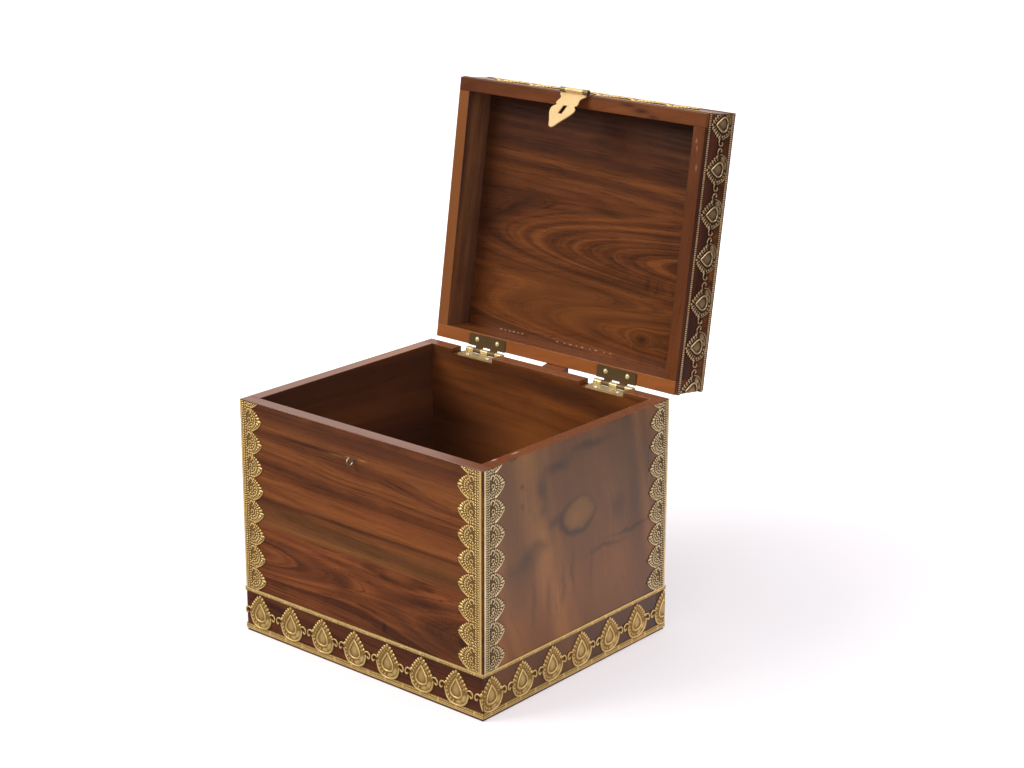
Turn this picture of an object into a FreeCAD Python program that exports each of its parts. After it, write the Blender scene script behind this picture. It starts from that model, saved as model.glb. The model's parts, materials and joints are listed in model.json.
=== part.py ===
import FreeCAD, Part
import math
import os
from FreeCAD import Vector

# Damchiya chest: a hinged sheesham box with embossed brass trims, shown with its lid open.
# Millimetres, +Z up. The origin is the centre of the underside. The front, with the staple
# and the hasp, faces -Y, and +X is to the right as seen from the front.

# Chest
chest_width = 320.0
chest_depth = 280.0
base_height = 248.0
lid_height = 50.0
wall = 14.0
bottom_board_thickness = 5.0
lid_board_thickness = 14.0
front_seam_height = 120.0
edge_round = 0.7
overrun = 1.0
place_tolerance = 0.02

# Lid swing: 0 degrees at this open angle, closing forwards by as much
lid_open_angle = 98.5

# Butt hinges
hinge_spacing = 174.0
hinge_length = 50.0
leaf_thickness = 1.2
leaf_reach = 17.0
leaf_corner = 2.0
knuckle_diameter = 5.6
knuckle_count = 5
knuckle_gap = 0.4
knuckle_relief = 1.4
hinge_axis_offset = 4.5
hinge_pin_diameter = 2.6
notch_left_margin = 5.0
notch_right_margin = 1.0
running_clearance = 0.05

# Hinge screws
screw_pitch = 28.0
screw_setback = 11.5
screw_head_diameter = 5.2
screw_head_height = 1.3
screw_shank_diameter = 2.4
screw_length = 11.0
screw_tip_length = 2.5
screw_slot_width = 0.7
screw_slot_depth = 0.5
screw_hole_clearance = 0.1

# Stop block behind the back wall, which the open lid leans on
stop_centre = 8.0
stop_width = 26.0
stop_depth = 12.4
stop_height = 34.0
stop_lip = 0.6
stop_taper = 8.0
stop_gap = 0.2

# Hasp
hasp_centre = -3.0
hasp_width = 36.0
hasp_plate_height = 10.0
hasp_sheet = 1.0
hasp_knuckle_diameter = 5.0
hasp_end_knuckle = 6.5
hasp_gap = 0.3
hasp_wall_gap = 0.5
hasp_axis_drop = 2.5
hasp_pin_diameter = 2.0
hasp_pin_head_diameter = 3.2
hasp_pin_head_length = 0.8
hasp_rest_angle = 53.0
strap_length = 50.0
strap_width = 32.8
strap_slot_width = 5.2
strap_slot_length = 11.6
nail_pitch = 24.0
nail_head_diameter = 3.0
nail_head_height = 0.9
nail_shank_diameter = 1.4
nail_length = 9.0

# Staple eye
staple_drop = 28.0
staple_ring_diameter = 9.4
staple_wire = 1.6
staple_wall_gap = 0.6
staple_shank_length = 9.0
staple_hole_clearance = 0.1

# Brass trims: corner strips and borders
strip_margin = 0.9
strip_width = 30.0
strip_valley = 16.5
strip_thickness = 1.2
scallop_pitch = 24.2
top_strip_gap = 1.0
border_thickness = 0.9
base_upper_border_low = 43.6
base_upper_border_high = 48.0
base_lower_border_low = 2.0
base_lower_border_high = 8.0
lid_lower_border_low = 5.0
lid_lower_border_high = 9.0
lid_upper_border_low = 43.5
lid_upper_border_high = 48.0
border_hasp_gap = 0.6

# Brass trims: chains of drops
drop_pitch = 44.4
drop_width = 29.0
drop_rise = 23.2
drop_fall = 15.0
drop_plate_thickness = 0.8
drop_boss_thickness = 1.6
base_drop_height = 20.0
lid_drop_height = 31.4
front_drop_corner_distance = 33.0
lid_side_first_drop = 11.0
link_height = 3.0
link_knob_diameter = 6.4
link_overlap = 3.0
lid_front_drop_count = 6
lid_back_drop_count = 7

# Shares that shape the outlines
drop_side_share = (0.70, 0.36)
drop_widest_share = -0.10
drop_foot_share = (0.84, -0.70)
boss_share = 0.46
screw_point_share = 0.25
scallop_shoulder_share = (0.40, 0.66)
strap_outline_shares = (
    (0.06, 1.00), (0.10, 1.00), (0.15, 0.85), (0.21, 0.76), (0.27, 0.80), (0.32, 0.84),
    (0.37, 0.79), (0.39, 0.70), (0.43, 0.80), (0.48, 0.92), (0.53, 0.93), (0.60, 0.86),
    (0.70, 0.68), (0.80, 0.48), (0.90, 0.30), (0.96, 0.20), (0.99, 0.09),
)

# Worked out from the sizes above
half_width = chest_width / 2
half_depth = chest_depth / 2
rim = base_height
lid_top = base_height + lid_height
rail_top = lid_top - lid_board_thickness
hinge_y = half_depth + hinge_axis_offset
hinge_z = rim - knuckle_diameter / 2
hasp_y = -(half_depth + hasp_wall_gap + hasp_knuckle_diameter / 2)
hasp_z = rim - hasp_axis_drop
perimeter = 2 * (chest_width + chest_depth)
X_AXIS = Vector(1, 0, 0)
LID_PIVOT = Vector(0, hinge_y, hinge_z)
HASP_PIVOT = Vector(0, hasp_y, hasp_z)


def block(x0, y0, z0, x1, y1, z1):
    """A box between two corners."""
    return Part.makeBox(x1 - x0, y1 - y0, z1 - z0, Vector(x0, y0, z0))


def rod(radius, start, end):
    """A round bar from one point to another."""
    run = end - start
    return Part.makeCylinder(radius, run.Length, start, run)


def opened(shape):
    """The shape carried from the closed lid to the open lid."""
    turned = shape.copy()
    turned.rotate(LID_PIVOT, X_AXIS, -lid_open_angle)
    return turned


def hung(shape):
    """A shape of the closed hasp carried to the open lid, keeping its own direction."""
    pivot = opened(Part.Vertex(HASP_PIVOT)).Point
    moved = shape.copy()
    moved.translate(pivot - HASP_PIVOT)
    return moved


def swung(shape):
    """A shape of the hanging hasp strap, swung out to its rest angle on the open lid."""
    turned = shape.copy()
    turned.rotate(HASP_PIVOT, X_AXIS, -hasp_rest_angle)
    return hung(turned)


def joined(shapes):
    """One solid from shapes that touch or cross."""
    whole = shapes[0]
    if len(shapes) > 1:
        whole = whole.multiFuse(shapes[1:])
    return whole.removeSplitter()


def edges_on(shape, planes, needed):
    """Edges whose middles lie on at least the needed number of the planes."""
    chosen = []
    for edge in shape.Edges:
        middle = edge.CenterOfMass
        hits = 0
        for axis, place in planes:
            if abs(getattr(middle, axis) - place) < place_tolerance:
                hits += 1
        if hits >= needed:
            chosen.append(edge)
    return chosen


def eased(board, planes):
    """The board with each edge that lies on two of the planes rounded."""
    return board.makeFillet(edge_round, edges_on(board, planes, 2))


# Wood of the base

def outer_planes(top):
    """The planes of the four outer faces and of a top face."""
    return [
        ("x", -half_width),
        ("x", half_width),
        ("y", -half_depth),
        ("y", half_depth),
        ("z", top),
    ]


def base_front_lower_board():
    """Lower board of the glued front."""
    board = block(-half_width, -half_depth, bottom_board_thickness,
                  half_width, wall - half_depth, front_seam_height)
    return eased(board, outer_planes(rim))


def base_front_upper_board():
    """Upper board of the glued front, with the staple's hole."""
    board = block(-half_width, -half_depth, front_seam_height,
                  half_width, wall - half_depth, rim)
    board = eased(board, outer_planes(rim) + [("y", wall - half_depth)])
    hole_radius = staple_wire / 2 + staple_hole_clearance
    start = Vector(hasp_centre, -half_depth - overrun, rim - staple_drop)
    end = Vector(hasp_centre, -half_depth + staple_shank_length, rim - staple_drop)
    return board.cut(rod(hole_radius, start, end))


def hinge_centres():
    """Middles of the two hinges along the back edge, left first."""
    return (-hinge_spacing / 2, hinge_spacing / 2)


def screw_places(centre):
    """Middles of one leaf's two screws along the back edge."""
    return (centre - screw_pitch / 2, centre + screw_pitch / 2)


def screw_holes(low, high):
    """Holes for both hinges' screws, upright between two heights."""
    radius = screw_shank_diameter / 2 + screw_hole_clearance
    y = hinge_y - screw_setback
    holes = []
    for centre in hinge_centres():
        for x in screw_places(centre):
            holes.append(rod(radius, Vector(x, y, low), Vector(x, y, high)))
    return holes


def base_back_panel():
    """Back wall, with a through notch for each whole hinge and pilot holes for its screws."""
    board = block(-half_width, half_depth - wall, bottom_board_thickness,
                  half_width, half_depth, rim)
    board = eased(board, outer_planes(rim) + [("y", half_depth - wall)])
    floor = rim - knuckle_diameter
    for centre in hinge_centres():
        board = board.cut(block(
            centre - hinge_length / 2 - notch_left_margin, half_depth - wall - overrun, floor,
            centre + hinge_length / 2 + notch_right_margin, half_depth + overrun, rim + overrun))
    for hole in screw_holes(floor - screw_length, floor + overrun):
        board = board.cut(hole)
    return board


def base_side_panel(side):
    """Left (-1) or right (+1) wall, between the front and the back."""
    outer = side * half_width
    inner = side * (half_width - wall)
    board = block(min(outer, inner), wall - half_depth, bottom_board_thickness,
                  max(outer, inner), half_depth - wall, rim)
    planes = [("x", outer), ("x", inner), ("z", rim)]
    return eased(board, planes)


def base_bottom_board():
    """Bottom board under the walls, flush with their outer faces."""
    board = block(-half_width, -half_depth, 0, half_width, half_depth, bottom_board_thickness)
    return eased(board, outer_planes(rim))


def lid_stop_block():
    """Block on the back wall whose sloping top meets the open lid's back face."""
    tilt = math.radians(lid_open_angle)
    edge = opened(Part.Vertex(Vector(0, half_depth, rim))).Point
    along = Vector(0, math.sin(tilt), math.cos(tilt))
    away = Vector(0, math.cos(tilt), -math.sin(tilt))
    near = edge + away * stop_gap
    run = (half_depth + stop_depth - near.y) / along.y
    far = near + along * run
    low = rim - stop_height
    profile = [
        Vector(0, half_depth, low),
        Vector(0, half_depth, rim - stop_lip),
        near,
        far,
        Vector(0, half_depth + stop_depth, low + stop_taper),
    ]
    start = Vector(stop_centre - stop_width / 2, 0, 0)
    wire = Part.makePolygon([point + start for point in profile + profile[:1]])
    return Part.Face(wire).extrude(Vector(stop_width, 0, 0))


# Wood of the lid, drawn closed

def lid_long_rail(side):
    """Front (-1) or back (+1) rail of the lid, running its whole width."""
    outer = side * half_depth
    inner = side * (half_depth - wall)
    board = block(-half_width, min(outer, inner), rim, half_width, max(outer, inner), rail_top)
    planes = [("x", -half_width), ("x", half_width), ("y", outer), ("y", inner), ("z", rim)]
    return eased(board, planes)


def lid_front_rail():
    """Front rail, with holes for the nails of the hasp's plate."""
    board = lid_long_rail(-1)
    for x, z in nail_places():
        start = Vector(x, -half_depth - overrun, z)
        end = Vector(x, -half_depth + nail_length, z)
        board = board.cut(rod(nail_shank_diameter / 2 + screw_hole_clearance, start, end))
    return board


def lid_back_rail():
    """Back rail, with pilot holes for the hinge screws."""
    board = lid_long_rail(1)
    for hole in screw_holes(rim - overrun, rim + screw_length):
        board = board.cut(hole)
    return board


def lid_side_rail(side):
    """Left (-1) or right (+1) rail of the lid, between the long rails."""
    outer = side * half_width
    inner = side * (half_width - wall)
    board = block(min(outer, inner), wall - half_depth, rim,
                  max(outer, inner), half_depth - wall, rail_top)
    return eased(board, [("x", outer), ("x", inner), ("z", rim)])


def lid_top_board():
    """Top board, laid over the rails."""
    board = block(-half_width, -half_depth, rail_top, half_width, half_depth, lid_top)
    return eased(board, outer_planes(lid_top))


# Hinges, drawn closed

def knuckle_span(centre, index):
    """Where one knuckle's place on the hinge starts and ends."""
    pitch = hinge_length / knuckle_count
    start = centre - hinge_length / 2 + index * pitch
    return start, start + pitch


def hinge_barrel(left, right, radius):
    """A round bar on the lid's axis."""
    return rod(radius, Vector(left, hinge_y, hinge_z), Vector(right, hinge_y, hinge_z))


def hinge_leaf(centre, side):
    """One leaf with its knuckles: the base's (-1) lies low, the lid's (+1) lies high."""
    outer_z = hinge_z + side * knuckle_diameter / 2
    inner_z = outer_z - side * leaf_thickness
    low = min(outer_z, inner_z)
    high = max(outer_z, inner_z)
    left = centre - hinge_length / 2
    right = centre + hinge_length / 2
    front = hinge_y - leaf_reach
    leaf = block(left, front, low, right, hinge_y, high)
    corners = edges_on(leaf, (("y", front), ("z", (low + high) / 2)), 2)
    leaf = leaf.makeFillet(leaf_corner, corners)
    own_parity = 0 if side < 0 else 1
    for index in range(knuckle_count):
        start, end = knuckle_span(centre, index)
        if index % 2 == own_parity:
            first = start if index == 0 else start + knuckle_gap / 2
            last = end if index == knuckle_count - 1 else end - knuckle_gap / 2
            leaf = leaf.fuse(hinge_barrel(first, last, knuckle_diameter / 2))
        else:
            first = start - (overrun if index == 0 else knuckle_gap / 2)
            last = end + (overrun if index == knuckle_count - 1 else knuckle_gap / 2)
            relief = hinge_y - knuckle_diameter / 2 - knuckle_relief
            leaf = leaf.cut(block(first, relief, low - overrun,
                                  last, hinge_y + overrun, high + overrun))
    leaf = leaf.cut(hinge_barrel(left - overrun, right + overrun,
                                 hinge_pin_diameter / 2 + running_clearance))
    for hole in screw_holes(low - overrun, high + overrun):
        leaf = leaf.cut(hole)
    return leaf.removeSplitter()


def hinge_pin(centre):
    """Pin through the five knuckles."""
    return hinge_barrel(centre - hinge_length / 2, centre + hinge_length / 2,
                        hinge_pin_diameter / 2)


def domed_head(diameter, height):
    """Low dome that stands on the plane z = 0."""
    radius = diameter / 2
    ball = (radius * radius + height * height) / (2 * height)
    dome = Part.makeSphere(ball, Vector(0, 0, height - ball))
    return dome.common(block(-radius, -radius, 0, radius, radius, height + overrun))


def hinge_screw():
    """Slotted screw that points down, its head standing on z = 0."""
    head = domed_head(screw_head_diameter, screw_head_height)
    slot_floor = screw_head_height - screw_slot_depth
    head = head.cut(block(-screw_head_diameter, -screw_slot_width / 2, slot_floor,
                          screw_head_diameter, screw_slot_width / 2, screw_head_height + overrun))
    radius = screw_shank_diameter / 2
    shank_end = Vector(0, 0, screw_tip_length - screw_length)
    shank = rod(radius, Vector(0, 0, 0), shank_end)
    tip = Part.makeCone(radius, radius * screw_point_share, screw_tip_length, shank_end,
                        Vector(0, 0, -1))
    return joined([head, shank, tip])


def hinge_screws(side):
    """The four screws of the base's leaves (-1) or of the lid's leaves (+1)."""
    seat = hinge_z + side * (knuckle_diameter / 2 - leaf_thickness)
    screws = []
    for centre in hinge_centres():
        for x in screw_places(centre):
            screw = hinge_screw()
            if side > 0:
                screw.rotate(Vector(0, 0, 0), X_AXIS, 180)
            screw.translate(Vector(x, hinge_y - screw_setback, seat))
            screws.append(screw)
    return Part.makeCompound(screws)


# Hasp, drawn closed and hanging

def hasp_left():
    """Left end of the hasp's barrel."""
    return hasp_centre - hasp_width / 2


def hasp_right():
    """Right end of the hasp's barrel."""
    return hasp_centre + hasp_width / 2


def nail_places():
    """Across and up, where the hasp's plate is nailed to the lid."""
    up = rim + hasp_plate_height / 2
    return ((hasp_centre - nail_pitch / 2, up), (hasp_centre + nail_pitch / 2, up))


def hasp_barrel(left, right, radius):
    """A round bar on the hasp's axis."""
    return rod(radius, Vector(left, hasp_y, hasp_z), Vector(right, hasp_y, hasp_z))


def hasp_lid_plate():
    """Plate nailed to the lid's front, curled into the barrel's two end knuckles."""
    left = hasp_left()
    right = hasp_right()
    radius = hasp_knuckle_diameter / 2
    face = -half_depth
    top = rim + hasp_plate_height
    plate = block(left, face - hasp_sheet, rim, right, face, top)
    corners = edges_on(plate, (("y", face - hasp_sheet / 2), ("z", top)), 2)
    plate = plate.makeFillet(leaf_corner, corners)
    back = hasp_y + radius
    plate = plate.fuse(block(left, back - hasp_sheet, hasp_z, right, back, rim + hasp_gap))
    plate = plate.cut(block(left + hasp_end_knuckle, back - hasp_sheet - overrun, hasp_z - overrun,
                            right - hasp_end_knuckle, face + overrun, hasp_z + radius + hasp_gap))
    plate = plate.fuse(hasp_barrel(left, left + hasp_end_knuckle, radius))
    plate = plate.fuse(hasp_barrel(right - hasp_end_knuckle, right, radius))
    plate = plate.cut(hasp_barrel(left - overrun, right + overrun,
                                  hasp_pin_diameter / 2 + running_clearance))
    for x, z in nail_places():
        start = Vector(x, face - hasp_sheet - overrun, z)
        end = Vector(x, face + overrun, z)
        plate = plate.cut(rod(nail_shank_diameter / 2 + screw_hole_clearance, start, end))
    return plate.removeSplitter()


def hasp_plate_nails():
    """Two round-headed nails through the hasp's plate."""
    nails = []
    for x, z in nail_places():
        head = domed_head(nail_head_diameter, nail_head_height)
        shank = rod(nail_shank_diameter / 2, Vector(0, 0, 0), Vector(0, 0, -nail_length))
        nail = joined([head, shank])
        nail.rotate(Vector(0, 0, 0), X_AXIS, 90)
        nail.translate(Vector(x, -half_depth - hasp_sheet, z))
        nails.append(nail)
    return Part.makeCompound(nails)


def hasp_pin():
    """Pin of the hasp's barrel, with a small head at each end."""
    left = hasp_left()
    right = hasp_right()
    far_left = left - hasp_gap / 2 - hasp_pin_head_length
    far_right = right + hasp_gap / 2 + hasp_pin_head_length
    pin = hasp_barrel(far_left, far_right, hasp_pin_diameter / 2)
    for start in (far_left, right + hasp_gap / 2):
        head = hasp_barrel(start, start + hasp_pin_head_length, hasp_pin_head_diameter / 2)
        pin = pin.fuse(head)
    return pin.removeSplitter()


def strap_outline():
    """Closed outline of the strap, from its shoulders to its tip, in its own plane."""
    back = hasp_y + hasp_knuckle_diameter / 2
    left = []
    right = []
    for down_share, out_share in strap_outline_shares:
        z = hasp_z - down_share * strap_length
        out = out_share * strap_width / 2
        right.append(Vector(hasp_centre + out, back, z))
        left.append(Vector(hasp_centre - out, back, z))
    tip = Vector(hasp_centre, back, hasp_z - strap_length)
    side = Part.BSplineCurve()
    side.interpolate(right + [tip] + left[::-1])
    top = Part.LineSegment(left[0], right[0])
    return Part.Wire([side.toShape(), top.toShape()])


def hasp_strap():
    """Flat leaf-shaped strap with its slot, curled into the barrel's middle knuckle."""
    left = hasp_left() + hasp_end_knuckle + hasp_gap
    right = hasp_right() - hasp_end_knuckle - hasp_gap
    radius = hasp_knuckle_diameter / 2
    back = hasp_y + radius
    front = back - hasp_sheet
    leaf = Part.Face(strap_outline()).extrude(Vector(0, -hasp_sheet, 0))
    shoulder = hasp_z - strap_outline_shares[0][0] * strap_length
    neck = block(left, front, shoulder - overrun, right, back, hasp_z)
    strap = leaf.fuse(neck).fuse(hasp_barrel(left, right, radius))
    strap = strap.cut(hasp_barrel(left - overrun, right + overrun,
                                  hasp_pin_diameter / 2 + running_clearance))
    slot_middle = rim - staple_drop
    strap = strap.cut(block(hasp_centre - strap_slot_width / 2, front - overrun,
                            slot_middle - strap_slot_length / 2,
                            hasp_centre + strap_slot_width / 2, back + overrun,
                            slot_middle + strap_slot_length / 2))
    return strap.removeSplitter()


def staple_eye():
    """Screw eye in the front, its ring upright and square to the face."""
    ring_radius = (staple_ring_diameter - staple_wire) / 2
    z = rim - staple_drop
    centre = Vector(hasp_centre, -(half_depth + staple_wall_gap + staple_ring_diameter / 2), z)
    ring = Part.makeTorus(ring_radius, staple_wire / 2, centre, X_AXIS)
    start = Vector(hasp_centre, centre.y + ring_radius, z)
    end = Vector(hasp_centre, staple_shank_length - half_depth, z)
    return joined([ring, rod(staple_wire / 2, start, end)])


# Brass trims. A side of the chest is a plane with a start corner, a way along, a way up
# and a way out, and it is drawn from left to right as seen from outside.

def base_sides(height):
    """The four upright sides from a height up: front, right, back and left."""
    up = Vector(0, 0, 1)
    sides = {}
    for name, turn in (("front", 0), ("right", 1), ("back", 2), ("left", 3)):
        along = Vector((1, 0, -1, 0)[turn], (0, 1, 0, -1)[turn], 0)
        out = along.cross(up)
        across = abs(along.x) * half_width + abs(along.y) * half_depth
        reach = abs(out.x) * half_width + abs(out.y) * half_depth
        start = out * reach - along * across + up * height
        sides[name] = (start, along, up, out, 2 * across)
    return sides


def on_side(side, along, up):
    """A point of a side, from its start corner."""
    start, way_along, way_up, way_out, length = side
    return start + way_along * along + way_up * up


def prism(side, edges, thickness):
    """A flat piece on a side: each edge is two points, or three for an arc."""
    curves = []
    for edge in edges:
        points = [on_side(side, along, up) for along, up in edge]
        if len(points) == 2:
            curves.append(Part.LineSegment(points[0], points[1]).toShape())
        else:
            curves.append(Part.Arc(points[0], points[1], points[2]).toShape())
    solid = Part.Face(Part.Wire(curves)).extrude(side[3] * thickness)
    if solid.Volume < 0:
        solid.reverse()
    return solid


def rectangle(low_along, low_up, high_along, high_up):
    """Edges of an upright rectangle on a side."""
    bottom = ((low_along, low_up), (high_along, low_up))
    top = ((high_along, high_up), (low_along, high_up))
    return [bottom, (bottom[1], top[0]), top, (top[1], bottom[0])]


def scallop_edges(start, pitch):
    """Two arcs of one fan of a strip, which start at its valleys and meet at its tip."""
    shoulder_along, shoulder_out = scallop_shoulder_share
    end = start + pitch
    tip = (start + pitch / 2, strip_width)
    inset = shoulder_along * pitch / 2
    shoulder = strip_valley + shoulder_out * (strip_width - strip_valley)
    return [
        ((start, strip_valley), (start + inset, shoulder), tip),
        (tip, (end - inset, shoulder), (end, strip_valley)),
    ]


def palmette_strip(place, way, inward, out, length, pitch):
    """A strip of fans along an edge, cut to its length.

    place is the strip's start on its straight edge, way runs along it, inward points to the
    fans' tips and out is away from the wood.
    """
    side = (place, way, inward, out, length)
    count = math.ceil((length - strip_margin) / pitch)
    edges = [((0, 0), (0, strip_valley))]
    for index in range(count):
        edges += scallop_edges(index * pitch, pitch)
    end = count * pitch
    edges += [((end, strip_valley), (end, 0)), ((end, 0), (0, 0))]
    strip = prism(side, edges, strip_thickness)
    if end > length:
        window = rectangle(0, -overrun, length, strip_width + overrun)
        strip = strip.common(prism(side, window, strip_thickness))
    return strip


def corner_strip(side_name, at_start):
    """An upright strip at one end of a side of the base, from the upper border to the rim."""
    start, along, up, out, length = base_sides(base_upper_border_high)[side_name]
    run = base_height - base_upper_border_high - edge_round
    if at_start:
        place = start + along * strip_margin
        inward = along
    else:
        place = start + along * (length - strip_margin)
        inward = along * -1
    return palmette_strip(place, up, inward, out, run, scallop_pitch)


def lid_top_strip(name):
    """A strip of fans along one edge of the lid's top, its fans pointing to the middle."""
    out = Vector(0, 0, 1)
    side_setback = strip_margin + strip_width + top_strip_gap
    if name in ("front", "back"):
        sign = -1 if name == "front" else 1
        length = chest_width - 2 * strip_margin
        place = Vector(strip_margin - half_width, sign * (half_depth - strip_margin), lid_top)
        way = Vector(1, 0, 0)
        inward = Vector(0, -sign, 0)
    else:
        sign = -1 if name == "left" else 1
        length = chest_depth - 2 * side_setback
        place = Vector(sign * (half_width - strip_margin), side_setback - half_depth, lid_top)
        way = Vector(0, 1, 0)
        inward = Vector(-sign, 0, 0)
    pitch = length / round(length / scallop_pitch)
    return palmette_strip(place, way, inward, out, length, pitch)


def border(low, high, height):
    """A flat band right round the chest, lapped at its corners."""
    pieces = []
    for name, side in base_sides(height).items():
        lap = border_thickness if name in ("front", "back") else 0
        pieces.append(prism(side, rectangle(-lap, low, side[4] + lap, high), border_thickness))
    return joined(pieces)


def drop_edges(centre, height, flip, size):
    """Outline of a drop: a point at one end, and a round foot at the other."""
    half = drop_width / 2 * size
    rise = drop_rise * size * flip
    fall = drop_fall * size * flip
    side_out, side_up = drop_side_share
    foot_out, foot_up = drop_foot_share
    widest_up = height + drop_widest_share * rise
    tip = (centre, height + rise)
    foot = (centre, height - fall)
    edges = []
    for sign in (1, -1):
        widest = (centre + sign * half, widest_up)
        upper = (centre + sign * side_out * half, height + side_up * rise)
        lower = (centre + sign * foot_out * half, height + foot_up * fall)
        edges += [(tip, upper, widest), (widest, lower, foot)]
    right = edges[:2]
    left = [edge[::-1] for edge in edges[:1:-1]]
    return right + left


def drop_solids(side, centre, height, flip):
    """A drop's plate and its raised boss."""
    plate = prism(side, drop_edges(centre, height, flip, 1), drop_plate_thickness)
    boss = prism(side, drop_edges(centre, height, flip, boss_share), drop_boss_thickness)
    return [plate, boss]


def link_solids(side, start, end, height):
    """A link between two drops: a bar with a knob at its middle."""
    bar_edges = rectangle(start, height - link_height / 2, end, height + link_height / 2)
    bar = prism(side, bar_edges, drop_plate_thickness)
    middle = on_side(side, (start + end) / 2, height)
    knob = Part.makeCylinder(link_knob_diameter / 2, drop_plate_thickness, middle, side[3])
    return [bar, knob]


def chain_on_side(side, centres, height, flip, low, high, end_links):
    """A chain of drops on one side, cut where the side ends."""
    solids = []
    pitch = centres[1] - centres[0]
    reach = drop_width / 2 - link_overlap
    for index, centre in enumerate(centres):
        solids += drop_solids(side, centre, height, flip)
        if index < len(centres) - 1:
            solids += link_solids(side, centre + reach, centres[index + 1] - reach, height)
    if end_links:
        free = pitch - drop_width
        first = centres[0] - drop_width / 2
        last = centres[-1] + drop_width / 2
        solids += link_solids(side, first - free / 2, first + link_overlap, height)
        solids += link_solids(side, last - link_overlap, last + free / 2, height)
    chain = joined(solids)
    top = height + drop_rise + drop_fall + overrun
    bottom = height - drop_rise - drop_fall - overrun
    keep = prism(side, rectangle(low, bottom, high, top), drop_boss_thickness)
    return chain.common(keep)


def base_drop_chain():
    """One closed chain of drops that wraps round all four corners of the base."""
    count = round(perimeter / drop_pitch)
    pitch = perimeter / count
    first = chest_width - front_drop_corner_distance
    pieces = []
    travelled = 0
    for name, side in base_sides(0).items():
        length = side[4]
        lap = drop_plate_thickness if name in ("front", "back") else 0
        nearest = math.floor((travelled - first) / pitch)
        farthest = math.ceil((travelled + length - first) / pitch)
        indices = range(nearest, farthest + 1)
        centres = [first + index * pitch - travelled for index in indices]
        pieces.append(chain_on_side(side, centres, base_drop_height, 1,
                                    -lap, length + lap, False))
        travelled += length
    return joined(pieces)


def lid_chain(name):
    """A chain of drops on one side of the lid, its points towards the rim."""
    side = base_sides(rim)[name]
    length = side[4]
    long_side = name in ("front", "back")
    if long_side:
        count = lid_front_drop_count if name == "front" else lid_back_drop_count
        middle = half_width + hasp_centre if name == "front" else half_width
        first = middle - (count - 1) * drop_pitch / 2
    else:
        count = math.floor((length - lid_side_first_drop + drop_width / 2) / drop_pitch) + 1
        first = lid_side_first_drop
    centres = [first + index * drop_pitch for index in range(count)]
    if name == "left":
        centres = [length - centre for centre in centres[::-1]]
    return chain_on_side(side, centres, lid_drop_height, -1,
                         strip_margin, length - strip_margin, long_side)


def lid_chains():
    """The lid's four chains by name."""
    return {name: lid_chain(name) for name in ("front", "right", "back", "left")}


def lid_lower_border():
    """Border near the lid's rim, broken where the hasp's plate is."""
    band = border(lid_lower_border_low, lid_lower_border_high, rim)
    top = rim + lid_lower_border_high + overrun
    return band.cut(block(hasp_left() - border_hasp_gap, -half_depth - overrun, rim,
                          hasp_right() + border_hasp_gap, -half_depth + overrun, top))


def collect():
    """Every piece of the chest by its name, where it stands with the lid open."""
    base_chain = base_drop_chain()
    chains = lid_chains()
    lower_band = lid_lower_border()
    upper_band = border(lid_upper_border_low, lid_upper_border_high, rim)
    base_upper_band = border(base_upper_border_low, base_upper_border_high, 0)
    base_lower_band = border(base_lower_border_low, base_lower_border_high, 0)
    for chain in chains.values():
        lower_band = lower_band.cut(chain)
        upper_band = upper_band.cut(chain)
    pieces = {
        "base_front_lower_board": base_front_lower_board(),
        "base_front_upper_board": base_front_upper_board(),
        "base_back_panel": base_back_panel(),
        "base_left_panel": base_side_panel(-1),
        "base_right_panel": base_side_panel(1),
        "base_bottom_board": base_bottom_board(),
        "lid_stop_block": lid_stop_block(),
        "staple_eye": staple_eye(),
        "base_upper_border": base_upper_band.cut(base_chain),
        "base_lower_border": base_lower_band.cut(base_chain),
        "base_drop_chain": base_chain,
        "hinge_base_screws": hinge_screws(-1),
        "hinge_lid_screws": opened(hinge_screws(1)),
        "lid_front_rail": opened(lid_front_rail()),
        "lid_back_rail": opened(lid_back_rail()),
        "lid_left_rail": opened(lid_side_rail(-1)),
        "lid_right_rail": opened(lid_side_rail(1)),
        "lid_top_board": opened(lid_top_board()),
        "lid_lower_border": opened(lower_band),
        "lid_upper_border": opened(upper_band),
        "hasp_lid_plate": opened(hasp_lid_plate()),
        "hasp_plate_nails": opened(hasp_plate_nails()),
        "hasp_pin": hung(hasp_pin()),
        "hasp_strap": swung(hasp_strap()),
    }
    for name, chain in chains.items():
        pieces["lid_" + name + "_chain"] = opened(chain)
    for name in ("front", "back", "left", "right"):
        pieces["lid_top_" + name + "_strip"] = opened(lid_top_strip(name))
    names = ("front", "right", "back", "left")
    for index, name in enumerate(names):
        before = names[index - 1]
        after = names[(index + 1) % len(names)]
        pieces[name + "_" + before + "_corner_strip"] = corner_strip(name, True)
        pieces[name + "_" + after + "_corner_strip"] = corner_strip(name, False)
    for name, centre in zip(("left", "right"), hinge_centres()):
        pieces[name + "_hinge_base_leaf"] = hinge_leaf(centre, -1)
        pieces[name + "_hinge_lid_leaf"] = opened(hinge_leaf(centre, 1))
        pieces[name + "_hinge_pin"] = hinge_pin(centre)
    return pieces


def main():
    """Writes each piece to its own file."""
    os.makedirs("parts", exist_ok=True)
    for name, shape in collect().items():
        shape.exportStep("parts/" + name + ".step")
        print(name, len(shape.Solids), "solid(s)", round(shape.Volume, 1), "mm3", shape.isValid())
    pivot = hung(Part.Vertex(HASP_PIVOT)).Point
    print("lid axis", round(hinge_y, 3), round(hinge_z, 3))
    print("hasp axis", round(pivot.y, 3), round(pivot.z, 3))


if __name__ == "__main__":
    main()
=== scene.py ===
"""A damchiya chest: figured wood with stamped brass trims, its lid open and its hasp hanging."""

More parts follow.
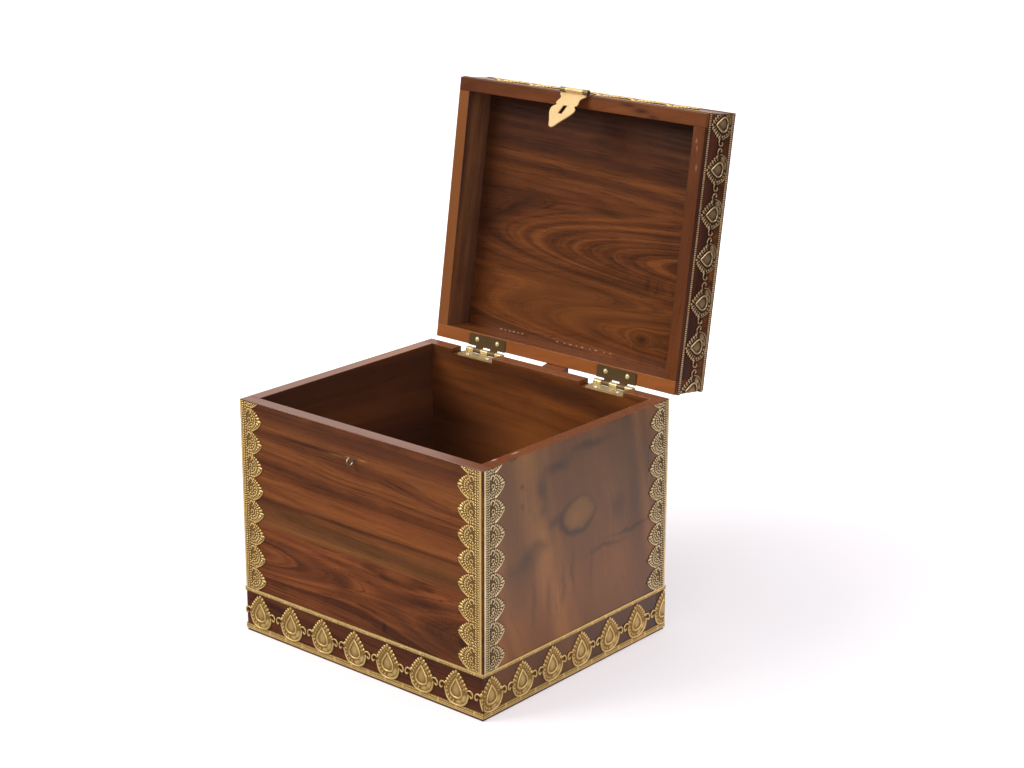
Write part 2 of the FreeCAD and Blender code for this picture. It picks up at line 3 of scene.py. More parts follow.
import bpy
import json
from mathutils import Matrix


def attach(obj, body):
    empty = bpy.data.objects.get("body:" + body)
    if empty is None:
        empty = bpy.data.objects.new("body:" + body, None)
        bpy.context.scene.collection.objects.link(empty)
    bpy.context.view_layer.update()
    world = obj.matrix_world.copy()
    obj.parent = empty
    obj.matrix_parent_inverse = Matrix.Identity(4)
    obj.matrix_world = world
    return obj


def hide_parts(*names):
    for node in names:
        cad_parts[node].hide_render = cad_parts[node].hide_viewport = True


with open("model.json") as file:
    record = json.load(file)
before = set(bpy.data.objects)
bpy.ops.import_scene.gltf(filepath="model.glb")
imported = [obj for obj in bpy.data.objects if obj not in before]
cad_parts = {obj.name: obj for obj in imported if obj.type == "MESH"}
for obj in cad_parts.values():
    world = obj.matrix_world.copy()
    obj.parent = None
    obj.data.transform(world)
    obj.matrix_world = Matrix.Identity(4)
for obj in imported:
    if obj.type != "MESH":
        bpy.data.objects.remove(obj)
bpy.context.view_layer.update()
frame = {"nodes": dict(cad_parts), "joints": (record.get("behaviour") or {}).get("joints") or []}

import json
import logging
import math
from dataclasses import dataclass, field, replace
from enum import Enum
from functools import wraps
from typing import Callable, Sequence

import bpy
from mathutils import Matrix, Vector

logging.basicConfig(level=logging.INFO, format="%(message)s")
log = logging.getLogger("chest")

Point = tuple[float, float]
Triple = tuple[float, float, float]
Rgb = tuple[int, int, int]
Material = bpy.types.Material
Node = bpy.types.Node
Piece = bpy.types.Object
Socket = bpy.types.NodeSocket

MM = 0.001
ORIGIN, BLACK = (0, 0, 0), (0, 0, 0, 1)
UP, DOWN = (0, 0, 1), (0, 0, -1)
RIGHTWARD, LEFTWARD = (1, 0, 0), (-1, 0, 0)
FORWARD, BACKWARD = (0, -1, 0), (0, 1, 0)
RELIEF = "relief"
SHARP_EDGE = math.radians(50)


def srgb(colour: Rgb) -> tuple[float, ...]:
    """Turns a colour written as 0 to 255 into the linear values that shaders take.

    Args:
        colour: red, green and blue as they are seen.

    Returns:
        The linear colour with full alpha.
    """
    def linear(share: float) -> float:
        """Turns one share of it."""
        return share / 12.92 if share <= 0.04045 else ((share + 0.055) / 1.055) ** 2.4
    return (*(linear(value / 255) for value in colour), 1.0)


class Side(Enum):
    """The four upright sides, counted anticlockwise from the front as seen from above."""

    FRONT = 0
    RIGHT = 1
    BACK = 2
    LEFT = 3

    @property
    def wide(self) -> bool:
        """Whether it is the front or the back."""
        return self in (Side.FRONT, Side.BACK)


class Run(Enum):
    """Which way a board's grain runs: the order of axes along, across and through it."""

    ALONG_X_UPRIGHT = ("X", "Z", "Y")
    ALONG_Y_UPRIGHT = ("Y", "Z", "X")
    ALONG_X_FLAT = ("X", "Y", "Z")
    UPRIGHT_Y = ("Z", "Y", "X")


# Shader building

class Tree:
    """A node tree with short calls for adding and joining its nodes."""

    def __init__(self, tree: bpy.types.NodeTree) -> None:
        """Takes over a tree."""
        self.tree = tree

    def put(self, socket: Socket, value: object) -> None:
        """Joins a socket to another one, or sets its value.

        Args:
            socket: the socket.
            value: another socket or a value.
        """
        if isinstance(value, Socket):
            self.tree.links.new(value, socket)
        else:
            socket.default_value = value

    def fill(self, made: Node, **values: object) -> Node:
        """Sets or joins a node's inputs by name, with _ for a space, and returns the node.

        Args:
            made: the node.
            values: a value or a socket for each input.

        Returns:
            The same node.
        """
        for name, value in values.items():
            self.put(made.inputs[name.replace("_", " ")], value)
        return made

    def node(self, kind: str, *values: object, **settings: object) -> Node:
        """Adds a node.

        Args:
            kind: the node's type without its ShaderNode start.
            values: a value or a socket for each of its first inputs.
            settings: its properties.

        Returns:
            The node.
        """
        made = self.tree.nodes.new("ShaderNode" + kind)
        for name, value in settings.items():
            setattr(made, name, value)
        for socket, value in zip(made.inputs, values):
            self.put(socket, value)
        return made

    def maths(self, operation: str, *values: object) -> Socket:
        """Adds a Math node and returns its result."""
        return self.node("Math", *values, operation=operation).outputs[0]

    def times(self, value: object, factor: object, plus: object = None) -> Socket:
        """Multiplies two numbers, adds a third if there is one, and returns the result.

        Args:
            value, factor: what is multiplied.
            plus: what is added, if anything is.

        Returns:
            The result.
        """
        if plus is None:
            return self.maths("MULTIPLY", value, factor)
        return self.maths("MULTIPLY_ADD", value, factor, plus)

    def centred(self, value: Socket) -> Socket:
        """Moves a noise of 0 to 1 to lie round 0."""
        return self.maths("SUBTRACT", value, 0.5)

    def vector(self, operation: str, *values: object) -> Socket:
        """Adds a Vector Math node and returns its result."""
        made = self.node("VectorMath", *values, operation=operation)
        return made.outputs["Value" if operation in ("DOT_PRODUCT", "LENGTH") else "Vector"]

    def split(self, vector: Socket) -> Sequence[Socket]:
        """Takes a vector apart."""
        return self.node("SeparateXYZ", vector).outputs

    def combined(self, *values: object) -> Socket:
        """Makes a vector of three numbers."""
        return self.node("CombineXYZ", *values).outputs[0]

    def blend(self, share: object, first: object, second: object, mode: str = "MIX") -> Socket:
        """Mixes two colours and returns the result.

        Args:
            share: how much of the second colour there is.
            first, second: the colours.
            mode: how they are mixed.

        Returns:
            The colour.
        """
        made = self.node("Mix", data_type="RGBA", blend_type=mode)
        for name, value in (("Factor_Float", share), ("A_Color", first), ("B_Color", second)):
            self.put(next(s for s in made.inputs if s.identifier == name), value)
        return next(s for s in made.outputs if s.identifier == "Result_Color")

    def spread(self, value: object, low: float, high: float) -> Socket:
        """Stretches a stretch of a value to 0 to 1 with soft ends, and returns it."""
        return self.node("MapRange", value, low, high,
                         interpolation_type="SMOOTHSTEP").outputs["Result"]

    def noise(self, vector: object, scale: float, detail: float = 2.0,
              rough: float = 0.5) -> Socket:
        """Adds a three-way Noise node and returns its value."""
        return self.fill(self.node("TexNoise"), Vector=vector, Scale=scale, Detail=detail,
                         Roughness=rough).outputs["Fac"]

    def line_noise(self, value: object, detail: float) -> Socket:
        """Adds a one-way Noise node, which is level wherever its value is, and returns it."""
        return self.fill(self.node("TexNoise", noise_dimensions="1D"), W=value, Scale=1.0,
                         Detail=detail).outputs["Fac"]

    def bump(self, strength: float, depth: float, height: Socket) -> Socket:
        """Turns a height into a surface's normal, its depth told in millimetres."""
        return self.fill(self.node("Bump"), Strength=strength, Distance=depth * MM,
                         Height=height).outputs[0]


def new_material(name: str) -> tuple[Material, Tree, Node]:
    """Makes a material, and returns it with its tree and its shader.

    Args:
        name: its name.

    Returns:
        The material, its tree and its shader.
    """
    made = bpy.data.materials.new(name)
    made.use_nodes = True
    return made, Tree(made.node_tree), made.node_tree.nodes["Principled BSDF"]


def grouped(name: str, outputs: str, **inputs: object) -> Callable:
    """Turns a function that fills a node tree into a shared node group, built only once.

    Args:
        name: the group's name.
        outputs: names of its outputs, all of them numbers but Colour.
        inputs: usual value of each input, which also tells its kind.

    Returns:
        A decorator. The function that it gives back places the group in a tree, sets or joins
        the inputs that it is told, and returns the group's outputs.
    """
    def build(fill: Callable) -> bpy.types.NodeTree:
        """Builds the group with the function that fills it."""
        group = bpy.data.node_groups.new(name, "ShaderNodeTree")
        for label, value in inputs.items():
            kind = "Float" if isinstance(value, float) else {3: "Vector", 4: "Color"}[len(value)]
            socket = group.interface.new_socket(label, in_out="INPUT",
                                                socket_type="NodeSocket" + kind)
            socket.default_value = value
        for label in outputs.split():
            kind = "Color" if label == "Colour" else "Float"
            group.interface.new_socket(label, in_out="OUTPUT", socket_type="NodeSocket" + kind)
        tree = Tree(group)
        results = fill(tree, group.nodes.new("NodeGroupInput").outputs)
        leave = group.nodes.new("NodeGroupOutput")
        for socket, result in zip(leave.inputs, results):
            tree.put(socket, result)
        return group

    def decorate(fill: Callable) -> Callable:
        """Gives back the function that places the group."""
        @wraps(fill)
        def place(tree: Tree, **values: object) -> Sequence[Socket]:
            """Places the group in a tree."""
            group = bpy.data.node_groups.get(name) or build(fill)
            return tree.fill(tree.node("Group", node_tree=group), **values).outputs
        return place
    return decorate


@grouped("Grain swell", "Value", Vector=ORIGIN, Centre=ORIGIN, Spread=(1, 1, 1), Amount=0.0,
         Edge=1.0)
def swell(tree: Tree, given: Sequence[Socket]) -> list[Socket]:
    """A smooth hump, which closes the grain's lines round a knot or bends them.

    Args:
        tree: the group's tree.
        given: its input sockets.

    Returns:
        Its results.
    """
    offset = tree.vector("SUBTRACT", given["Vector"], given["Centre"])
    scaled = tree.vector("DIVIDE", offset, given["Spread"])
    steep = tree.maths("POWER", tree.vector("DOT_PRODUCT", scaled, scaled), given["Edge"])
    return [tree.times(tree.maths("EXPONENT", tree.times(steep, -1.0)), given["Amount"])]


@grouped("Grain field", "Field", Vector=ORIGIN, Lean=(0, 1, 0), Warp=0.05)
def grain_field(tree: Tree, given: Sequence[Socket]) -> list[Socket]:
    """Height of the growth rings over a board, before its swells are added.

    Args:
        tree: the group's tree.
        given: its input sockets.

    Returns:
        Its results.
    """
    drawn_out, ruffle = (0.38, 1.0, 0.6), 0.13
    drawn = tree.vector("MULTIPLY", given["Vector"], drawn_out)
    slow = tree.centred(tree.noise(drawn, scale=11.0))
    quick = tree.centred(tree.noise(drawn, scale=48.0))
    slope = tree.vector("DOT_PRODUCT", given["Vector"], given["Lean"])
    warped = tree.times(slow, given["Warp"], slope)
    return [tree.times(quick, tree.times(given["Warp"], ruffle), warped)]


@grouped("Grain figure", "Shade Vein Fibre Pore", Vector=ORIGIN, Field=0.0, Bands=20.0)
def grain_figure(tree: Tree, given: Sequence[Socket]) -> list[Socket]:
    """Bands, veins, fibres and pores that follow the growth rings, ragged as in real wood.

    Args:
        tree: the group's tree.
        given: its input sockets.

    Returns:
        Its results.
    """
    drawn_along, drawn_through, bend, raggedness, pore_length = 0.030, 0.4, 0.22, 0.0030, 3.2
    vein_pitch, vein_start, coarse_share = 2.7, 31.0, 0.45
    along, across, through = tree.split(given["Vector"])
    follow = tree.combined(tree.times(along, drawn_along), tree.times(given["Field"], bend, across),
                           tree.times(through, drawn_through))
    fine = tree.noise(follow, scale=760.0, detail=4.0, rough=0.65)
    coarse = tree.noise(follow, scale=210.0)
    ragged = tree.times(tree.centred(fine), raggedness, given["Field"])
    bands = tree.times(ragged, given["Bands"])
    shade = tree.spread(tree.line_noise(bands, detail=2.0), low=0.22, high=0.78)
    rings = tree.line_noise(tree.times(bands, vein_pitch, vein_start), detail=1.0)
    line = tree.maths("ABSOLUTE", tree.centred(rings))
    thin = tree.maths("SUBTRACT", 1.0, tree.spread(line, low=0.0, high=0.07))
    fade = tree.spread(tree.noise(given["Vector"], scale=26.0), low=0.34, high=0.66)
    short = tree.vector("MULTIPLY", follow, (pore_length, 1.0, 1.0))
    pore = tree.spread(tree.noise(short, scale=1500.0, detail=1.0), low=0.62, high=0.74)
    fibre = tree.times(coarse, coarse_share, tree.times(fine, 1 - coarse_share))
    return [shade, tree.times(thin, fade), fibre, pore]


@grouped("Wood tint", "Colour Height", Vector=ORIGIN, Shade=0.5, Vein=0.5, Fibre=0.5, Pore=0.0,
         Contrast=0.5, Grain=2.0, Pale=BLACK, Mid=BLACK, Deep=BLACK, Ink=BLACK)
def wood_tint(tree: Tree, given: Sequence[Socket]) -> list[Socket]:
    """Colour and height of lacquered wood from its figure.

    Args:
        tree: the group's tree.
        given: its input sockets.

    Returns:
        Its results.
    """
    level, cloudiness, pore_dark, fibre_rise = 0.68, 0.64, 0.45, 0.35
    low = tree.blend(tree.spread(given["Shade"], 0.0, 0.55), given["Deep"], given["Mid"])
    body = tree.blend(tree.spread(given["Shade"], 0.45, 1.0), low, given["Pale"])
    veined = tree.blend(tree.times(given["Vein"], given["Contrast"]), body, given["Ink"])
    drawn = tree.vector("MULTIPLY", given["Vector"], (0.25, 1.0, 1.0))
    cloud = tree.noise(drawn, scale=30.0, detail=3.0, rough=0.55)
    fleck = tree.times(cloud, cloudiness,
                       tree.times(tree.centred(given["Fibre"]), given["Grain"], level))
    grey = tree.node("CombineColor", fleck, fleck, fleck).outputs[0]
    shaded = tree.blend(1.0, veined, grey, "MULTIPLY")
    pored = tree.blend(tree.times(given["Pore"], pore_dark), shaded, given["Ink"])
    return [pored, tree.maths("SUBTRACT", tree.times(given["Fibre"], fibre_rise), given["Pore"])]


@grouped("Facing", "Share", Normal=UP, Way=UP)
def facing(tree: Tree, given: Sequence[Socket]) -> list[Socket]:
    """How squarely a surface faces one way."""
    return [tree.spread(tree.vector("DOT_PRODUCT", given["Normal"], given["Way"]), 0.55, 0.9)]


@grouped("Tarnish", "Colour Roughness Height", Vector=ORIGIN, Relief=1.0, Bright=BLACK,
         Dull=BLACK, Hollow=BLACK, Tarnish=0.4, Specks=0.3, Roughness=0.3)
def tarnished(tree: Tree, given: Sequence[Socket]) -> list[Socket]:
    """Brass that is bright on its crests, brown in its hollows and clouded here and there.

    Args:
        tree: the group's tree.
        given: its input sockets.

    Returns:
        Its results.
    """
    cloud_rough, hollow_rough = 0.12, 0.22
    cloud = tree.spread(tree.noise(given["Vector"], 60.0, 3.0, 0.6), low=0.35, high=0.7)
    speck = tree.spread(tree.noise(given["Vector"], 650.0), low=0.52, high=0.72)
    crest = tree.spread(given["Relief"], low=0.30, high=0.82)
    metal = tree.blend(tree.times(cloud, given["Tarnish"]), given["Bright"], given["Dull"])
    # The hollow colour is partly patina and partly painted shade in the recesses; the side and lid
    # copies darken it with more painted shade.
    patina_and_shade = tree.blend(crest, given["Hollow"], metal)
    dirty = tree.blend(tree.times(speck, given["Specks"]), patina_and_shade, given["Hollow"])
    rough = tree.times(cloud, cloud_rough, given["Roughness"])
    rougher = tree.times(tree.maths("SUBTRACT", 1.0, crest), hollow_rough, rough)
    return [dirty, rougher, tree.noise(given["Vector"], scale=380.0)]


# Finishes

@dataclass(frozen=True)
class Swell:
    """A hump in a board's grain, in millimetres along and across it."""

    centre: tuple[float, ...]
    spread: tuple[float, ...]
    amount: float


@dataclass(frozen=True)
class StainAndPaintedLight:
    """A tinted patch of a board, soft at its edges unless its edge is made steep. Most are stains,
    chips and streaks; a few are painted shade and painted light.

    Its place and its half sizes are in millimetres along and across the board. Where a third
    number tells the place through the board, the patch has an end there too.
    """

    centre: tuple[float, ...]
    spread: tuple[float, ...]
    colour: Rgb
    strength: float
    edge: float = 1.0


@dataclass(frozen=True)
class Face:
    """A tint of the surfaces that face one way, told for the shut lid."""

    way: Triple
    colour: Rgb
    strength: float


STAINED = (66, 33, 26)
WALNUT = (50, 31, 22)


@dataclass(frozen=True)
class WoodFinish:
    """Lacquered wood for one board. Its level is where its stains and its patches of painted light
    and shade lie through the board.
    """

    name: str
    run: Run
    pale: Rgb = (140, 80, 36)
    mid: Rgb = (117, 63, 30)
    deep: Rgb = (90, 47, 25)
    ink: Rgb = (36, 19, 12)
    faces: tuple[Face, ...] = ()
    dark_below: float = 0.0
    on_lid: bool = False
    shift: Triple = ORIGIN
    level: float = 0.0
    lean: Triple = (0.06, 1.0, 0.3)
    warp: float = 0.05
    bands: float = 26.0
    contrast: float = 0.6
    roughness: float = 0.29
    coat: float = 0.12
    coat_roughness: float = 0.16
    shine: float = 0.5
    grain: float = 2.0
    waver: float = 0.0
    swells: tuple[Swell, ...] = ()
    stains_and_painted_light: tuple[StainAndPaintedLight, ...] = ()
    chips: tuple[StainAndPaintedLight, ...] = ()

    def material(self, lid: "LidPose") -> Material:
        """Builds the material.

        Args:
            lid: how the open lid lies, for boards that are drawn on the shut lid.

        Returns:
            The material.
        """
        made, tree, shader = new_material(self.name)
        place = tree.node("TexCoord").outputs
        point = place["Object"]
        if self.on_lid:
            turned = tree.node("Mapping", vector_type="POINT")
            point = tree.fill(turned, Vector=point, Location=lid.shut_offset(),
                              Rotation=(lid.angle, 0, 0)).outputs[0]
        axes = tree.split(point)
        board = tree.combined(*(axes[axis] for axis in self.run.value))
        vector = tree.vector("ADD", board, self.shift)
        height = grain_field(tree, Vector=vector, Lean=self.lean, Warp=self.warp)[0]
        for hump in self.swells:
            height = tree.maths("ADD", height, swell(
                tree, Vector=vector, Amount=hump.amount, **self.where(hump))[0])
        figure = grain_figure(tree, Vector=vector, Field=height, Bands=self.bands)
        tint = wood_tint(
            tree, Vector=vector, Contrast=self.contrast, Grain=self.grain, Pale=srgb(self.pale),
            Mid=srgb(self.mid), Deep=srgb(self.deep), Ink=srgb(self.ink),
            **{output.name: output for output in figure})
        colour = self.spotted(tree, self.wavered(tree, vector), tint["Colour"], self.stains_and_painted_light)
        if self.dark_below:
            low = tree.spread(axes["Z"], (self.dark_below + 2) * MM, (self.dark_below - 2) * MM)
            colour = tree.blend(tree.times(low, 0.55), colour, srgb(STAINED))
        for face in self.faces:
            way = lid.turned(face.way) if self.on_lid else face.way
            share = facing(tree, Normal=place["Normal"], Way=way)[0]
            colour = tree.blend(tree.times(share, face.strength), colour, srgb(face.colour))
        wear, rise = 0.09 * self.grain, 0.11 * self.grain
        tree.fill(shader, Base_Color=self.spotted(tree, vector, colour, self.chips),
                  Roughness=tree.times(figure["Fibre"], wear, self.roughness - wear / 2),
                  Normal=tree.bump(rise, 0.12, tint["Height"]), Coat_Weight=self.coat,
                  Coat_Roughness=self.coat_roughness, Specular_IOR_Level=self.shine)
        return made

    def where(self, patch: Swell | StainAndPaintedLight) -> dict[str, list[float]]:
        """Tells the place and reach of a swell or a tinted patch in metres, after the board's
        shift.

        Args:
            patch: the swell or the tinted patch.

        Returns:
            Values for the Centre and Spread inputs.
        """
        centre = (*patch.centre, self.level)[:3]
        spread = (*patch.spread, 1000)[:3]
        return {"Centre": [value * MM + moved for value, moved in zip(centre, self.shift)],
                "Spread": [value * MM for value in spread]}

    def wavered(self, tree: Tree, vector: Socket) -> Socket:
        """Shakes a point a little, so that the stains and patches of painted light laid there have
        uneven edges.

        Args:
            tree: the material's tree.
            vector: the point in the board's own directions.

        Returns:
            The point, shaken where the board has a waver.
        """
        if not self.waver:
            return vector
        shaken = tree.fill(tree.node("TexNoise"), Vector=vector, Scale=42.0).outputs["Color"]
        level = tree.vector("SUBTRACT", shaken, (0.5, 0.5, 0.5))
        return tree.vector("MULTIPLY_ADD", level, (self.waver,) * 3, vector)

    def spotted(self, tree: Tree, vector: Socket, colour: Socket,
                spots: Sequence[StainAndPaintedLight]) -> Socket:
        """Lays stains, chips and patches of painted light and shade over a colour.

        Args:
            tree: the material's tree.
            vector: the point in the board's own directions.
            colour: the colour below.
            spots: the patches, told before the board's shift.

        Returns:
            The colour with them.
        """
        for spot in spots:
            patch = swell(tree, Vector=vector, Amount=spot.strength, Edge=spot.edge,
                          **self.where(spot))
            share = tree.maths("MINIMUM", patch[0], 1.0)
            colour = tree.blend(share, colour, srgb(spot.colour))
        return colour


@dataclass(frozen=True)
class MetalFinish:
    """Brass or steel, plain or stamped."""

    name: str
    bright: Rgb
    dull: Rgb
    hollow: Rgb = (120, 86, 46)
    tarnish: float = 0.5
    specks: float = 0.2
    metallic: float = 0.6
    roughness: float = 0.36
    stamped: bool = False
    bump: float = 0.15

    def material(self) -> Material:
        """Builds the material."""
        made, tree, shader = new_material(self.name)
        relief = 1.0
        if self.stamped:
            relief = tree.node("Attribute", attribute_name=RELIEF).outputs["Fac"]
        brass = tarnished(
            tree, Vector=tree.node("TexCoord").outputs["Object"], Relief=relief,
            Bright=srgb(self.bright), Dull=srgb(self.dull), Hollow=srgb(self.hollow),
            Tarnish=self.tarnish, Specks=self.specks, Roughness=self.roughness)
        tree.fill(shader, Base_Color=brass["Colour"], Roughness=brass["Roughness"],
                  Metallic=self.metallic, Normal=tree.bump(self.bump, 0.1, brass["Height"]))
        return made


# Places

@dataclass(frozen=True)
class LidPose:
    """The lid's axis and how far it stands open."""

    pivot: Triple
    angle: float = math.radians(98.5)

    def opening(self) -> Matrix:
        """Carries a point of the shut lid to the open lid."""
        to = Matrix.Translation(self.pivot)
        return to @ Matrix.Rotation(-self.angle, 4, "X") @ to.inverted()

    def turned(self, way: Triple) -> Vector:
        """Turns a direction of the shut lid as the open lid is turned."""
        return Matrix.Rotation(-self.angle, 3, "X") @ Vector(way)

    def shut_offset(self) -> Vector:
        """What is added, after turning a point back, to find it on the shut lid."""
        pivot = Vector(self.pivot)
        return pivot - Matrix.Rotation(self.angle, 3, "X") @ pivot


@dataclass
class Chest:
    """Sizes of the chest in millimetres, as it is built."""

    width: float = 320.0
    depth: float = 280.0
    rim: float = 248.0
    lid_top: float = 298.0

    def side(self, side: Side, height: float) -> Matrix:
        """Finds the frame of a side: X along it, Y up and Z out, in metres.

        Args:
            side: which side.
            height: height of the frame's start above the floor, in millimetres.

        Returns:
            The matrix that puts a shape drawn in that frame in its place.
        """
        turn = Matrix.Rotation(side.value * math.pi / 2, 3, "Z")
        along, out = turn @ Vector(RIGHTWARD), turn @ Vector(FORWARD)
        across = abs(along.x) * self.width / 2 + abs(along.y) * self.depth / 2
        reach = abs(out.x) * self.width / 2 + abs(out.y) * self.depth / 2
        start = (out * reach - along * across + Vector((0, 0, height))) * MM
        return frame_matrix(along, Vector(UP), out, start)

    def length(self, side: Side) -> float:
        """Length of a side."""
        return self.width if side.wide else self.depth


def frame_matrix(along: Vector, up: Vector, out: Vector, start: Vector) -> Matrix:
    """Makes the matrix of a frame from its three directions and its start.

    Args:
        along, up, out: its directions.
        start: its start in metres.

    Returns:
        The matrix.
    """
    matrix = Matrix((along, up, out)).transposed().to_4x4()
    matrix.translation = start
    return matrix


# Modelling with Blender's own tools

def deselect() -> None:
    """Leaves nothing selected."""
    for chosen in list(bpy.context.selected_objects):
        chosen.select_set(False)


def pick(*pieces: Piece) -> None:
    """Selects these pieces alone, the first one active."""
    deselect()
    for piece in pieces:
        piece.select_set(True)
    bpy.context.view_layer.objects.active = pieces[0]


def apply_place() -> Piece:
    """Puts the active piece's place, turn and size into its mesh, and returns it."""
    bpy.ops.object.transform_apply(location=True, rotation=True, scale=True)
    return bpy.context.active_object


def bead(centre: Triple, size: Triple, turn: float = 0.0, segments: int = 6,
         rings: int = 4) -> Piece:
    """Makes a rounded stud: a sphere drawn out to a size.

    Args:
        centre: its middle, in millimetres.
        size: half its length, width and height.
        turn: its turn about the upright, in degrees.
        segments, rings: how finely it is cut.

    Returns:
        The stud.
    """
    deselect()
    bpy.ops.mesh.primitive_uv_sphere_add(
        segments=segments, ring_count=rings, radius=1.0, rotation=(0, 0, math.radians(turn)),
        location=[value * MM for value in centre], scale=[value * MM for value in size])
    return apply_place()


def wire(points: Sequence[Point], radius: float, level: float, closed: bool = False,
         flat: float = 1.0, start: float = 1.0, end: float = 1.0) -> Piece:
    """Makes a raised line: a round wire laid along a smooth curve.

    Args:
        points: the curve's control points, in millimetres.
        radius: the wire's radius.
        level: height of its middle.
        closed: whether it comes back to its start.
        flat: its height as a share of its width.
        start, end: radius at its two ends, as a share.

    Returns:
        The line as a mesh.
    """
    data = bpy.data.curves.new("line", "CURVE")
    data.dimensions = "3D"
    data.bevel_depth = radius * MM
    data.bevel_resolution = 1
    data.resolution_u = 3
    data.use_fill_caps = True
    spline = data.splines.new("NURBS")
    spline.points.add(len(points) - 1)
    for index, (across, up) in enumerate(points):
        share = index / (len(points) - 1)
        spline.points[index].co = (across * MM, up * MM, 0, 1)
        spline.points[index].radius = start + (end - start) * share
    spline.order_u = 3
    spline.use_cyclic_u = closed
    spline.use_endpoint_u = not closed
    made = bpy.data.objects.new("line", data)
    bpy.context.collection.objects.link(made)
    pick(made)
    bpy.ops.object.convert(target="MESH")
    made = bpy.context.active_object
    made.scale = (1, 1, flat)
    made.location = (0, 0, level * MM)
    return apply_place()


def plate(outline: Sequence[Point], thickness: float) -> Piece:
    """Cuts a flat plate: a disc drawn to an outline and raised to a thickness.

    Args:
        outline: its corners in turn, anticlockwise, in millimetres.
        thickness: its thickness.

    Returns:
        The plate, standing on the plane z = 0.
    """
    deselect()
    bpy.ops.mesh.primitive_circle_add(vertices=len(outline), fill_type="NGON", radius=MM)
    made = bpy.context.active_object
    for vertex, (across, up) in zip(made.data.vertices, outline):
        vertex.co = (across * MM, up * MM, 0)
    bpy.ops.object.mode_set(mode="EDIT")
    bpy.ops.mesh.select_all(action="SELECT")
    bpy.ops.mesh.extrude_region_move(TRANSFORM_OT_translate={"value": (0, 0, thickness * MM)})
    bpy.ops.mesh.select_all(action="SELECT")
    bpy.ops.mesh.normals_make_consistent(inside=False)
    bpy.ops.object.mode_set(mode="OBJECT")
    return made


def bar(length: float, low: float, high: float, thickness: float) -> Piece:
    """Makes a straight flat bar along X, between two heights."""
    return plate([(0, low), (length, low), (length, high), (0, high)], thickness)


def joined(name: str, pieces: Sequence[Piece]) -> Piece:
    """Joins pieces into one, under a name.

    Args:
        name: the name.
        pieces: the pieces.

    Returns:
        The one piece.
    """
    pick(*pieces)
    if len(pieces) > 1:
        bpy.ops.object.join()
    made = bpy.context.active_object
    made.name = made.data.name = name
    return made


def mark_relief(piece: Piece, top: float) -> Piece:
    """Stores each point's height, as a share of the relief's top, for the metal's hollows.

    Args:
        piece: the piece, which stands on the plane z = 0.
        top: the relief's top in millimetres.

    Returns:
        The same piece.
    """
    store = piece.data.attributes.new(RELIEF, "FLOAT", "POINT")
    for index, vertex in enumerate(piece.data.vertices):
        store.data[index].value = vertex.co.z / (top * MM)
    return piece


def placed(piece: Piece, matrix: Matrix) -> Piece:
    """Puts a matrix into a piece's mesh, and returns it.

    Args:
        piece: the piece.
        matrix: the matrix.

    Returns:
        The same piece.
    """
    piece.data.transform(matrix)
    if matrix.determinant() < 0:
        piece.data.flip_normals()
    piece.data.update()
    return piece


def copied(model: Piece, name: str, matrix: Matrix) -> Piece:
    """Copies a piece with its mesh to a place, under a name.

    Args:
        model: the piece to copy, left as it is.
        name: the copy's name.
        matrix: where it goes.

    Returns:
        The copy.
    """
    copy = bpy.data.objects.new(name, model.data.copy())
    bpy.context.collection.objects.link(copy)
    return placed(copy, matrix)


def arrayed(piece: Piece, count: int, pitch: float) -> Piece:
    """Repeats a piece along X at a pitch in millimetres, and returns it.

    Args:
        piece: the piece.
        count: how many there are.
        pitch: how far apart they are.

    Returns:
        The row.
    """
    pick(piece)
    row = piece.modifiers.new("row", "ARRAY")
    row.use_relative_offset = False
    row.use_constant_offset = True
    row.constant_offset_displace = (pitch * MM, 0, 0)
    row.count = count
    bpy.ops.object.modifier_apply(modifier=row.name)
    return piece


def trimmed(piece: Piece, at: float, way: Triple) -> Piece:
    """Cuts away what lies past a plane across X, and closes the cut.

    Args:
        piece: the piece to cut.
        at: the plane's place in millimetres.
        way: the direction in which the piece is cut away.

    Returns:
        The same piece.
    """
    pick(piece)
    bpy.ops.object.mode_set(mode="EDIT")
    bpy.ops.mesh.select_all(action="SELECT")
    bpy.ops.mesh.bisect(plane_co=(at * MM, 0, 0), plane_no=way, clear_outer=True)
    bpy.ops.mesh.select_all(action="SELECT")
    bpy.ops.mesh.fill_holes(sides=0)
    bpy.ops.object.mode_set(mode="OBJECT")
    return piece


def finished(piece: Piece, material: Material, body: str, slot: str, *nodes: str) -> None:
    """Gives a piece its finish and its body, and lets it stand for CAD nodes.

    Args:
        piece: the piece.
        material: its finish.
        body: the body that it moves with.
        slot: not used.
        nodes: the nodes that it stands for.
    """
    pick(piece)
    bpy.ops.object.shade_smooth_by_angle(angle=SHARP_EDGE)
    piece.data.materials.clear()
    piece.data.materials.append(material)
    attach(piece, body)
    if nodes:
        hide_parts(*nodes)
    log.info("%s: %d faces", piece.name, len(piece.data.polygons))


# Wood

# Walnut streaks of the right wall: place up and across, half sizes, strength
STREAKS = (
    (233, 12, 5, 30, 0.69), (224, -34, 6, 18, 0.73),
    (207, -56, 14, 8, 0.65), (184, -52, 12, 8, 0.52), (168, -37, 7, 11, 0.65),
    (152, -58, 7, 16, 0.52), (144, -74, 7, 12, 0.52), (158, 60, 13, 10, 0.52),
    (128.5, 83, 2, 30, 0.77), (121, 40, 2.6, 26, 0.60), (108, 20, 20, 3, 0.34),
    (110, -10, 22, 3, 0.43), (102, -24, 24, 2.6, 0.43), (92, -46, 22, 5, 0.39),
    (94, -68, 26, 3.4, 0.34), (218, -83, 2.4, 2.4, 0.77), (196, -86, 4, 1.8, 0.60),
    (112, -94, 26, 20, 0.30), (200, 108, 30, 16, 0.30))
# Glue specks along the lid's corner: place along it, half length
SPECKS = ((-100, 2.2), (-94, 1.2), (-88, 1.8), (-82, 2.0), (-76, 1.0), (-70, 1.4), (-22, 1.6),
          (-12, 1.0), (-4, 2.0), (4, 1.0), (12, 1.6), (22, 1.2), (30, 2.0), (41, 1.0), (49, 1.6))

